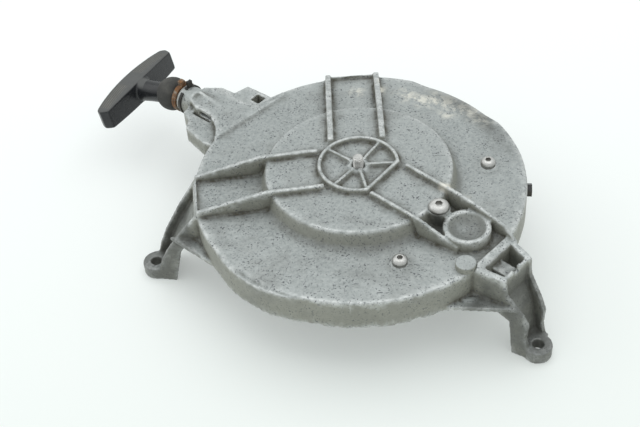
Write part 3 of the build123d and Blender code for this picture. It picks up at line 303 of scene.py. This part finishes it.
def screw_finish(name, metal, grime_and_shade_share):
    """Worn bright screw: fine scratches, grime and painted shade round the socket, on the sides and under
    the head.
    """
    f = Finish(name, metallic=0.85, roughness=0.35)
    scratches = f.noise(0.5 * MM, 3, 0.7, 1.5)
    tone = f.mix(f.band(scratches, 0.35, 0.65), tuple(0.7 * c for c in metal), metal)
    # grime and painted shade: faces that do not point up are darkened
    steep = f.band(f.facing("Z"), 0.1, 0.75, grime_and_shade_share, 0.0)
    dirt = f.calc("MULTIPLY", f.band(f.noise(2.2 * MM, 5, 0.7), 0.35, 0.6, 0.3, 1.0), steep)
    f.colour(f.mix(dirt, tone, (0.11, 0.10, 0.08)))
    f.roughness(f.band(f.noise(1.5 * MM, 4, 0.6), 0.3, 0.7, 0.25, 0.5))
    f.bump(f.calc("ADD", f.calc("MULTIPLY", scratches, 0.5), f.noise(2.5 * MM, 4)), 0.12 * MM)
    return f.material


def rust_finish():
    """Flaking brown rust with pale scale showing through."""
    f = Finish("rusty_steel", metallic=0.25, roughness=0.8)
    scale = f.noise(2.0 * MM, 6, 0.75)
    flakes = f.cells(1.2 * MM)
    brown = f.mix(f.band(scale, 0.35, 0.65), (0.055, 0.035, 0.025), (0.26, 0.12, 0.045))
    brown = f.mix(f.band(f.noise(4.5 * MM, 5, 0.7), 0.5, 0.66), brown, (0.30, 0.27, 0.22))
    f.colour(brown)
    f.roughness(f.band(scale, 0.3, 0.7, 0.6, 0.95))
    f.bump(f.calc("ADD", f.calc("MULTIPLY", scale, 0.7), f.calc("MULTIPLY", flakes, 0.3)), 0.4 * MM)
    return f.material


def grip_finish():
    """Moulded black plastic, polished by hands where it is smooth, dusty in its grooves."""
    f = Finish("black_plastic", base=(0.012, 0.013, 0.015), roughness=0.3)
    film = f.band(f.noise(7 * MM, 5, 0.7), 0.4, 0.7, 0.0, 0.25)
    outer = f.layer("outer")
    black = f.mix(film, (0.010, 0.011, 0.013), (0.05, 0.052, 0.053))
    black = f.mix(f.calc("MULTIPLY", outer, 0.8), black, (0.085, 0.088, 0.085))
    dust = f.calc("MULTIPLY", f.layer("groove"), f.band(f.noise(5 * MM, 5, 0.7), 0.3, 0.6, 0.5, 1.0))
    f.colour(f.mix(dust, black, (0.17, 0.165, 0.145)))
    f.roughness(f.calc("ADD", f.band(f.noise(3 * MM, 4, 0.6), 0.3, 0.7, 0.2, 0.36),
                       f.calc("MULTIPLY", outer, 0.25)))
    f.bump(f.calc("ADD", f.calc("MULTIPLY", f.noise(0.6 * MM, 3, 0.6), 0.6), f.noise(6 * MM, 3)), 0.08 * MM)
    return f.material


def rubber_finish():
    """Dull black rubber, dusty where it faces up."""
    f = Finish("black_rubber", roughness=0.8, specular=0.35)
    dust = f.band(f.noise(4 * MM, 6, 0.75), 0.4, 0.68, 0.0, 0.6)
    up = f.band(f.facing("Z"), 0.0, 0.9, 0.15, 0.7)
    f.colour(f.mix(f.calc("MULTIPLY", dust, up), (0.045, 0.045, 0.043), (0.17, 0.165, 0.145)))
    f.roughness(f.band(f.noise(2 * MM, 4), 0.3, 0.7, 0.65, 0.95))
    f.bump(f.noise(0.7 * MM, 4, 0.7), 0.2 * MM)
    return f.material


def rope_finish(name, along):
    """Braided nylon cord. along is its direction, or None for turns round the crank axis."""
    f = Finish(name, roughness=0.75, specular=0.3)
    strand = 1.1 * MM
    if along is None:
        turns = f.add("ShaderNodeTexGradient", {"gradient_type": "RADIAL"}, Vector=f.place).outputs["Fac"]
        length = f.add("ShaderNodeMath", {"operation": "MULTIPLY"})
        f.tree.links.new(turns, length.inputs[0])
        length.inputs[1].default_value = 2 * pi * 65 * MM
        length = length.outputs[0]
    else:
        dot = f.add("ShaderNodeVectorMath", {"operation": "DOT_PRODUCT"})
        f.tree.links.new(f.place, dot.inputs[0])
        dot.inputs[1].default_value = along
        length = dot.outputs["Value"]
    height = f.part_of_place("Z")
    ridges = []
    for lean in (1.0, -1.0):
        leaned = f.add("ShaderNodeMath", {"operation": "MULTIPLY_ADD"})
        f.tree.links.new(height, leaned.inputs[0])
        leaned.inputs[1].default_value = lean * 1.6
        f.tree.links.new(length, leaned.inputs[2])
        wave = f.add("ShaderNodeMath", {"operation": "MULTIPLY"})
        f.tree.links.new(leaned.outputs[0], wave.inputs[0])
        wave.inputs[1].default_value = pi / strand
        ridge = f.add("ShaderNodeMath", {"operation": "SINE"})
        f.tree.links.new(wave.outputs[0], ridge.inputs[0])
        ridges.append(f.band(ridge.outputs[0], -1.0, 1.0))
    weave = f.add("ShaderNodeMath", {"operation": "MULTIPLY"})
    f.tree.links.new(ridges[0], weave.inputs[0])
    f.tree.links.new(ridges[1], weave.inputs[1])
    grime = f.band(f.noise(18 * MM, 5, 0.7), 0.4, 0.7, 0.1, 0.6)
    # painted shade: the valleys between the strands are coloured darker
    cord = f.mix(f.band(weave.outputs[0], 0.0, 0.6), (0.20, 0.19, 0.15), (0.62, 0.60, 0.52))
    f.colour(f.mix(grime, cord, (0.16, 0.15, 0.12)))
    f.bump(f.calc("ADD", f.calc("MULTIPLY", weave.outputs[0], 0.8),
                  f.calc("MULTIPLY", f.noise(0.3 * MM, 2), 0.2)), 0.5 * MM)
    return f.material


def nylon_finish():
    """White nylon, yellowed in patches."""
    f = Finish("white_nylon", roughness=0.45)
    yellowed = f.band(f.noise(5 * MM, 5, 0.7), 0.4, 0.7, 0.0, 0.6)
    f.colour(f.mix(yellowed, (0.72, 0.70, 0.62), (0.45, 0.40, 0.30)))
    f.roughness(f.band(f.noise(1.5 * MM, 4), 0.3, 0.7, 0.35, 0.6))
    f.bump(f.noise(1.0 * MM, 3), 0.1 * MM)
    return f.material


def floor_finish():
    """Pale table: near white, a little greener towards the camera and darker there by painted shade; it also
    glows faintly, painted light that lifts its shadows.
    """
    f = Finish("floor", roughness=0.6, specular=0.2)
    nearness = f.band(f.part_of_place("Y"), -0.45, 0.3, 1.0, 0.0)
    pale = f.mix(nearness, (0.90, 0.925, 0.92), (0.78, 0.83, 0.795))
    f.colour(f.mix(0.30, pale, (0.0, 0.0, 0.0)))
    # painted light: the floor's own glow, which brightens it and its shadows
    f.feed(f.shader, "Emission Color", pale)
    f.shader.inputs["Emission Strength"].default_value = 0.31
    return f.material


# ---------------------------------------------------------------- mesh tools
def mesh_object(name, mesh, material):
    obj = bpy.data.objects.new(name, mesh)
    bpy.context.scene.collection.objects.link(obj)
    mesh.materials.clear()
    mesh.materials.append(material)
    return obj


def from_arrays(name, points, faces, material, smooth=True):
    mesh = bpy.data.meshes.new(name)
    mesh.from_pydata([tuple(p) for p in points], [], [tuple(f) for f in faces])
    mesh.polygons.foreach_set("use_smooth", [smooth] * len(mesh.polygons))
    mesh.update()
    return mesh_object(name, mesh, material)


def applied(obj):
    """Replaces obj's mesh by the mesh its modifiers make."""
    made = bpy.data.meshes.new_from_object(obj.evaluated_get(bpy.context.evaluated_depsgraph_get()))
    obj.modifiers.clear()
    obj.data = made
    return made


def remeshed(obj, voxel):
    """The mesh of obj rebuilt as even quads about one voxel wide."""
    grid = obj.modifiers.new("grid", "REMESH")
    grid.mode = "VOXEL"
    grid.voxel_size = voxel
    return applied(obj)


def coordinates(mesh):
    co = np.empty(len(mesh.vertices) * 3)
    mesh.vertices.foreach_get("co", co)
    return co.reshape(-1, 3)


def set_coordinates(mesh, co):
    mesh.vertices.foreach_set("co", co.astype(np.float32).ravel())
    mesh.update()


def links_of(mesh):
    pairs = np.empty(len(mesh.edges) * 2, int)
    mesh.edges.foreach_get("vertices", pairs)
    return pairs.reshape(-1, 2)


def neighbour_mean(values, pairs, count):
    """Mean of each vertex's neighbours, for one column of values or several."""
    columns = values.reshape(len(values), -1)
    out = np.empty_like(columns)
    for c in range(columns.shape[1]):
        total = np.bincount(pairs[:, 0], columns[pairs[:, 1], c], len(columns))
        total += np.bincount(pairs[:, 1], columns[pairs[:, 0], c], len(columns))
        out[:, c] = total / count
    return out.reshape(values.shape)


def vertex_normals(co, quads):
    a, b, c, d = (co[quads[:, i]] for i in range(4))
    face = np.cross(c - a, d - b)
    out = np.zeros_like(co)
    for corner in range(4):
        for axis in range(3):
            out[:, axis] += np.bincount(quads[:, corner], face[:, axis], len(co))
    return out / np.maximum(np.linalg.norm(out, axis=1), 1e-12)[:, None]


def quads_of(mesh):
    """Corners of the faces as rows of four; a triangle repeats its last corner."""
    rows = []
    for p in mesh.polygons:
        v = list(p.vertices)
        rows.append(v if len(v) == 4 else [v[0], v[1], v[2], v[2]])
    return np.array(rows)


def soften(mesh, voxel, steps, inner_r, outer_r, keep=None):
    """Rounds a regular mesh as a mould does: creases fill to inner_r and edges wear to outer_r.
    keep is a share per vertex, 0 where nothing moves."""
    co, pairs, quads = coordinates(mesh), links_of(mesh), quads_of(mesh)
    count = np.maximum(np.bincount(pairs.ravel(), minlength=len(co)), 1)
    fill_stop = voxel ** 2 / (4 * inner_r)
    wear_stop = voxel ** 2 / (4 * outer_r)
    for _ in range(steps):
        normal = vertex_normals(co, quads)
        drift = neighbour_mean(co, pairs, count) - co
        out = (drift * normal).sum(1)
        push = np.maximum(out - fill_stop, 0) + np.minimum(out + wear_stop, 0)
        slide = 0.25 * (drift - out[:, None] * normal)
        step = 0.8 * push[:, None] * normal + slide
        co = co + (step if keep is None else step * keep[:, None])
    set_coordinates(mesh, co)
    return co, pairs, count, vertex_normals(co, quads)


def store(mesh, name, values):
    layer = mesh.attributes.get(name) or mesh.attributes.new(name, "FLOAT", "POINT")
    layer.data.foreach_set("value", np.clip(values, 0, 1).astype(np.float32))


def cloud(co, size, seed, octaves=3):
    """Smooth seeded noise at each point, about -1 to 1, with lumps about size wide."""
    shift = Vector((seed * 17.3, seed * 5.1, seed * 9.7))
    out = np.empty(len(co))
    for i, p in enumerate(co):
        q = Vector(p) / size + shift
        out[i] = noise.fractal(q, 1.0, 2.0, octaves)
    return out


def thin_out(obj, triangles):
    """Collapses flat stretches until the piece has about that many triangles."""
    now = sum(len(p.vertices) - 2 for p in obj.data.polygons)
    if now > triangles:
        collapse = obj.modifiers.new("thin", "DECIMATE")
        collapse.ratio = triangles / now
        applied(obj)
    obj.data.polygons.foreach_set("use_smooth", [True] * len(obj.data.polygons))
    obj.data.update()


# ---------------------------------------------------------------- the casting
CUP_ALONG, CUP_ASIDE = 22.2 * MM, 12.4 * MM       # dished cup from the hook screw, in plan
CUP_REACH = 19 * MM
NECK_HALF_ANGLE = 30                              # degrees either side of the rope outlet
CRISP = 0.12                                      # share of the wear that slots and cup take
GOUGE_AT, GOUGE_HALF_ANGLE = -131, 24             # degrees round the rim
STAIN_AT, STAIN_HALF_ANGLE = 32, 34
MARKED_RIM_R = 125                                # rim radius that the crust's places are given for
# radius in mm, bearing in degrees and reach in mm of each patch of white corrosion
CRUST_PATCHES = [(105, 64.6, 9), (104, 57, 8), (109, 51, 11), (113, 44, 10), (115, 36, 10),
                 (116, 29, 8), (104, 86, 6), (107, 76, 5), (100, 41, 5)]
CASTING_TRIANGLES = 190_000


def middle_of_cup():
    """Plan centre of the dished cup: beside the hook screw, away from the hub."""
    hook, plug = middle("hook_screw"), middle("boss_plug")
    to_plug = (plug - hook).normalized()
    return (hook + CUP_ALONG * Vector((to_plug.x, to_plug.y, 0))
            + CUP_ASIDE * Vector((-to_plug.y, to_plug.x, 0)))


def casting(material):
    """The housing as it comes from the sand mould: soft creases, worn edges, a ragged lower rim."""
    voxel = 0.9 * MM
    source = frame["nodes"]["housing"]
    obj = mesh_object("housing_casting", source.data.copy(), material)
    mesh = remeshed(obj, voxel)
    steps = 30
    start = coordinates(mesh)
    from_neck = np.abs(np.degrees(np.arctan2(start[:, 1], start[:, 0])) - neck_dir)
    in_neck = (from_neck < NECK_HALF_ANGLE) & (np.hypot(start[:, 0], start[:, 1]) > 0.97 * rim_r)
    cup = middle_of_cup()
    in_cup = np.hypot(start[:, 0] - cup[0], start[:, 1] - cup[1]) < CUP_REACH
    keep = np.where(in_neck | (in_cup & (start[:, 2] > deck_z + 1 * MM)), CRISP, 1.0)
    co, pairs, count, normal = soften(mesh, voxel, steps, 3.0 * MM, 1.1 * MM, keep)
    r = np.hypot(co[:, 0], co[:, 1])
    angle = np.degrees(np.arctan2(co[:, 1], co[:, 0]))

    # wavy surface of a sand casting
    co = co + normal * (cloud(co, 22 * MM, 1, 2) * 0.12 * MM)[:, None]
    # the skirt's lower edge is chipped and lumpy
    low = np.clip((skirt_low + 5 * MM - co[:, 2]) / (5 * MM), 0, 1) * (np.abs(r - rim_r) < 7 * MM)
    low *= co[:, 2] > skirt_low - 1.5 * MM
    chips = np.clip(cloud(co * (1, 1, 0), 7 * MM, 2, 4), -0.3, 0.9)
    front = np.clip((-co[:, 1] - 20 * MM) / (30 * MM), 0.25, 1)
    co[:, 2] += low * front * chips * 2.6 * MM
    # the rim's top edge is gouged where the rim is thickened
    gouged = np.clip(1 - np.abs(angle - GOUGE_AT) / GOUGE_HALF_ANGLE, 0, 1) ** 0.5
    top_edge = np.clip(1 - np.hypot(r - rim_r, co[:, 2] - deck_z) / (4.5 * MM), 0, 1)
    bite = gouged * top_edge * np.clip(0.5 + cloud(co, 6 * MM, 3, 3), 0, 1.2)
    co = co - normal * (bite * 1.6 * MM)[:, None]
    set_coordinates(mesh, co)

    # how hollow or how sharp each place is, against a smoothed copy of itself
    flat = co.copy()
    for _ in range(14):
        flat = neighbour_mean(flat, pairs, count)
    relief = ((co - flat) * normal).sum(1)
    for _ in range(2):
        relief = neighbour_mean(relief, pairs, count)
    store(mesh, "crease", np.clip(-relief / (0.55 * MM), 0, 1) ** 1.2)
    store(mesh, "edge", np.clip(relief / (0.45 * MM) - 0.25, 0, 1))
    on_top = np.clip((co[:, 2] - deck_z + 3 * MM) / (3 * MM), 0, 1)
    crust = np.zeros(len(co))
    for at_r, at_deg, reach in CRUST_PATCHES:
        centre = polar(at_r / MARKED_RIM_R * rim_r, at_deg)
        away = np.hypot(co[:, 0] - centre.x, co[:, 1] - centre.y)
        crust = np.maximum(crust, np.clip(1.3 - away / (reach * MM), 0, 1))
    store(mesh, "crust", crust * on_top)
    rim_band = np.clip(1 - np.abs(r - 0.93 * rim_r) / (0.10 * rim_r), 0, 1)
    stain_and_shadow = rim_band * np.clip(1 - np.abs(angle - STAIN_AT) / STAIN_HALF_ANGLE, 0, 1)
    # painted shadow of the hook screw: a dark patch on the deck just in front of it
    hook = middle("hook_screw")
    beside = np.hypot(co[:, 0] - hook.x + 3 * MM, co[:, 1] - hook.y + 10 * MM)
    stain_and_shadow = np.maximum(stain_and_shadow, np.clip(1.4 - beside / (7 * MM), 0, 1))
    legs = np.clip((r / rim_r - 1.03) / 0.04, 0, 1)
    legs *= np.clip((deck_z - 2 * MM - co[:, 2]) / (6 * MM), 0, 1)
    legs = np.where(np.abs(angle - neck_dir) < 32, 0.0, legs)
    store(mesh, "stain_and_shadow", np.maximum(stain_and_shadow * on_top, 0.75 * legs))
    patch = polar(0.59 * rim_r, -25.5)
    spread = np.hypot((co[:, 0] - patch.x) / 2.0, co[:, 1] - patch.y)
    store(mesh, "paint", np.clip(1.4 - spread / (4.5 * MM), 0, 1) * on_top)

    thin_out(obj, CASTING_TRIANGLES)
    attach(obj, "root")
    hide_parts("housing")


# ---------------------------------------------------------------- the handle
GROOVE_PITCH, GROOVE_DEPTH = 2.2 * MM, 0.7 * MM


def handle_frame():
    """Axes of the handle: along the bar, up across it, and outwards from the starter, with its seat."""
    collar = points_of("grip_collar")
    bar = points_of("grip")
    centre = collar.mean(0)
    out = Vector(bar.mean(0) - centre).normalized()
    spread = np.linalg.svd(bar - bar.mean(0), full_matrices=False)[2][0]
    along = Vector(spread)
    along = (along - along.dot(out) * out).normalized()
    if along.z > 0.001 or along.x > 0:
        along = -along
    up = out.cross(along).normalized()
    if up.z < 0:
        up = -up
    reach = float((collar @ np.array(out)).min())
    seat = Vector(centre) - (Vector(centre).dot(out) - reach) * out
    return along, up, out, seat


def grip(material):
    """T-shaped bar with rounded edges; two fields of grooves follow its arched back on the broad faces."""
    along, up, out, seat = handle_frame()
    axes = np.array([along, up, out])
    plain = (points_of("grip") - np.array(seat)) @ axes.T
    half, back = plain[:, 0].max(), plain[:, 2].max()
    shoulder = plain[plain[:, 0] > half - 4 * MM, 2].max()
    source = frame["nodes"]["grip"]
    obj = mesh_object("grip_moulding", source.data.copy(), material)
    voxel = 0.45 * MM
    mesh = remeshed(obj, voxel)
    co, pairs, count, normal = soften(mesh, voxel, 60, 6 * MM, 3.6 * MM)
    local = (co - np.array(seat)) @ axes.T
    x, z = local[:, 0], local[:, 2]
    depth = back - (back - shoulder) * (x / half) ** 2 - z
    broad = np.clip((np.abs(normal @ axes[1]) - 0.6) / 0.25, 0, 1) * (z > 34 * MM)
    field = np.clip((np.abs(x) - 9 * MM) / (1.5 * MM), 0, 1)
    field *= np.clip((half - 6 * MM - np.abs(x)) / (2 * MM), 0, 1)
    field *= np.clip((depth - 2.5 * MM) / (0.5 * MM), 0, 1)
    field *= np.clip((12.5 * MM - depth) / (0.5 * MM), 0, 1)
    wave = 0.5 - 0.5 * np.cos(2 * pi * depth / GROOVE_PITCH)
    groove = broad * field * wave ** 1.5
    co = co - normal * (groove * GROOVE_DEPTH)[:, None]
    set_coordinates(mesh, co)
    store(mesh, "groove", groove)
    store(mesh, "outer", broad)
    mesh.polygons.foreach_set("use_smooth", [True] * len(mesh.polygons))
    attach(obj, "handle")
    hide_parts("grip")


# ---------------------------------------------------------------- rope, threads and springs
STRETCH_FROM, STRETCH_TO = 26 * MM, 2 * MM        # back from the handle's seat; the rope lengthens between
ROPE_RINGS = 24
LOCK_WIRE, LOCK_TURNS = 0.45 * MM, 5.5
THREAD_PITCH, THREAD_LENGTH = 1.25 * MM, 20 * MM  # M8


def rope_between(material):
    """The straight rope from sheave to handle, with extra rings cut along the stretch that pays out as the
    handle is pulled.
    """
    source = frame["nodes"]["rope_run"]
    mesh = source.data.copy()
    build = bmesh.new()
    build.from_mesh(mesh)
    bmesh.ops.remove_doubles(build, verts=build.verts, dist=0.01 * MM)
    seat = handle_frame()[3]
    start = seat - STRETCH_FROM * pull_axis
    end = seat - STRETCH_TO * pull_axis
    for step in range(ROPE_RINGS):
        cut = start + (end - start) * step / (ROPE_RINGS - 1)
        geometry = build.verts[:] + build.edges[:] + build.faces[:]
        bmesh.ops.bisect_plane(build, geom=geometry, plane_co=cut, plane_no=pull_axis)
    build.to_mesh(mesh)
    build.free()
    mesh.polygons.foreach_set("use_smooth", [True] * len(mesh.polygons))
    obj = mesh_object("rope_to_handle", mesh, material)
    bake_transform(obj)
    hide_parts("rope_run")


def basis(axis):
    """Two unit vectors square to axis."""
    side = axis.orthogonal().normalized()
    return side, axis.cross(side).normalized()


def coil(name, start, end, radius, wire, turns, material):
    """Wire wound on a helix between two points, with closed end turns."""
    axis = (end - start).normalized()
    side, other = basis(axis)
    length = (end - start).length - 2 * wire
    steps, around = int(turns * 28), 10
    path = []
    for i in range(steps + 1):
        share = i / steps
        rise = share * share * (3 - 2 * share) * 0.35 + share * 0.65
        turn = 2 * pi * turns * share
        path.append(start + axis * (wire + rise * length)
                    + radius * (cos(turn) * side + sin(turn) * other))
    points, faces = [], []
    for i, at in enumerate(path):
        ahead = path[min(i + 1, steps)] - path[max(i - 1, 0)]
        outwards = at - start - (at - start).dot(axis) * axis
        u = (outwards - outwards.dot(ahead.normalized()) * ahead.normalized()).normalized()
        v = ahead.normalized().cross(u)
        for k in range(around):
            a = 2 * pi * k / around
            points.append(at + wire * (cos(a) * u + sin(a) * v))
    for i in range(steps):
        for k in range(around):
            n = (k + 1) % around
            faces.append((i * around + k, i * around + n, (i + 1) * around + n, (i + 1) * around + k))
    faces.append(tuple(range(around))[::-1])
    faces.append(tuple(steps * around + k for k in range(around)))
    return from_arrays(name, points, faces, material)


def lock_coil(material):
    """The real coil in place of the plain sleeve, built at the sleeve's full length; the real spring
    shortens as the plunger goes in.
    """
    sleeve = points_of("lock_spring")
    across = sleeve - sleeve.mean(0)
    along = across @ np.array(push_axis)
    centre = Vector(sleeve.mean(0))
    outer = float(np.linalg.norm(across - along[:, None] * np.array(push_axis), axis=1).max())
    wire = LOCK_WIRE
    start = centre + push_axis * float(along.max())
    end = centre + push_axis * float(along.min())
    obj = coil("lock_coil_spring", start, end, outer - wire, wire, LOCK_TURNS, material)
    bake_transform(obj)
    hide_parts("lock_spring")


def threaded_bolt(material):
    """Centre bolt with a hexagon head and a real helical thread on the end that stands out of the hub."""
    low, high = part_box("centre_bolt")
    points = points_of("centre_bolt")
    tip = points[points[:, 2] > high.z - 15 * MM]
    radius = float(np.hypot(tip[:, 0], tip[:, 1]).max())
    head = points[points[:, 2] < low.z + 1 * MM]
    corner = float(np.hypot(head[:, 0], head[:, 1]).max())
    head_z = float(points[np.hypot(points[:, 0], points[:, 1]) > radius + 1 * MM][:, 2].max())
    pitch, around = THREAD_PITCH, 36
    core = radius - 0.62 * pitch
    thread_from = high.z - THREAD_LENGTH
    rows = [(low.z, 0.80 * corner, True), (low.z + 0.4 * MM, corner * 0.93, True),
            (low.z + 0.9 * MM, corner, True), (head_z, corner, True), (head_z, radius, False),
            (thread_from, radius, False)]
    z = thread_from
    while z < high.z:
        rows.append((z, None, False))
        z += pitch / 10
    rows.append((high.z, core - 0.4 * MM, False))
    verts, faces = [], []
    for z, r, hexagon in rows:
        for k in range(around):
            a = 2 * pi * k / around
            if hexagon:
                side = (a + pi / 6) % (pi / 3) - pi / 6
                here = min(r, corner * cos(pi / 6) / cos(side))
            elif r is None:
                phase = ((z - thread_from) / pitch - k / around) % 1.0
                here = core + (radius - core) * min(1.0, max(0.0, 1.35 - 2.7 * abs(phase - 0.5)))
                here -= max(0.0, z - high.z + 1.4 * MM) * 0.75
            else:
                here = r
            verts.append((here * cos(a), here * sin(a), z))
    for i in range(len(rows) - 1):
        for k in range(around):
            n = (k + 1) % around
            faces.append((i * around + k, i * around + n, (i + 1) * around + n, (i + 1) * around + k))
    faces.append(tuple(range(around))[::-1])
    faces.append(tuple((len(rows) - 1) * around + k for k in range(around)))
    obj = from_arrays("centre_bolt_threaded", verts, faces, material)
    obj.data.set_sharp_from_angle(angle=radians(40))
    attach(obj, "root")
    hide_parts("centre_bolt")


def floor(material):
    """Flat pale floor, twelve metres across."""
    size = 6.0
    corners = [(-size, -size, 0), (size, -size, 0), (size, size, 0), (-size, size, 0)]
    obj = from_arrays("floor", corners, [(0, 1, 2, 3)], material, smooth=False)


# ---------------------------------------------------------------- putting it together
camera()
studio()
floor(floor_finish())

cast = casting_finish()
bright = screw_finish("bright_screws", (0.62, 0.62, 0.60), 0.7)
dark = screw_finish("dark_screw", (0.05, 0.05, 0.05), 0.5)
turned = machined_finish("turned_steel", (0.60, 0.60, 0.58), (0.42, 0.42, 0.41), 0.25 * MM)
zinc = machined_finish("zinc_steel", (0.62, 0.60, 0.50), (0.45, 0.44, 0.38), 0.6 * MM, 0.42, 0.5)
die_cast = machined_finish("die_cast_zinc", (0.46, 0.47, 0.48), (0.36, 0.37, 0.38), 0.9 * MM, 0.5, 0.5)
bronze = machined_finish("bronze", (0.62, 0.42, 0.18), (0.42, 0.27, 0.12), 0.3 * MM, 0.35, 0.5)
blued = machined_finish("spring_steel", (0.13, 0.15, 0.22), (0.26, 0.25, 0.25), 0.3 * MM, 0.38, 0.3)
rust = rust_finish()
rubber = rubber_finish()
nylon = nylon_finish()

finish_of_slot = {
    "cast_aluminium": cast, "bright_screws": bright, "dark_screw": dark, "turned_steel": turned,
    "zinc_steel": zinc, "die_cast_zinc": die_cast, "bronze": bronze, "spring_steel": blued,
    "rusty_steel": rust, "black_rubber": rubber, "white_nylon": nylon,
    "black_plastic": grip_finish(), "starter_rope": rope_finish("starter_rope_wound", None),
}
for row in frame["record"]["subparts"]:
    materials = frame["nodes"][row["node"]].data.materials
    materials.clear()
    materials.append(finish_of_slot[row["material_slot"]])

casting(cast)
grip(finish_of_slot["black_plastic"])
rope_between(rope_finish("starter_rope_straight", tuple(pull_axis)))
lock_coil(blued)
threaded_bolt(bright)
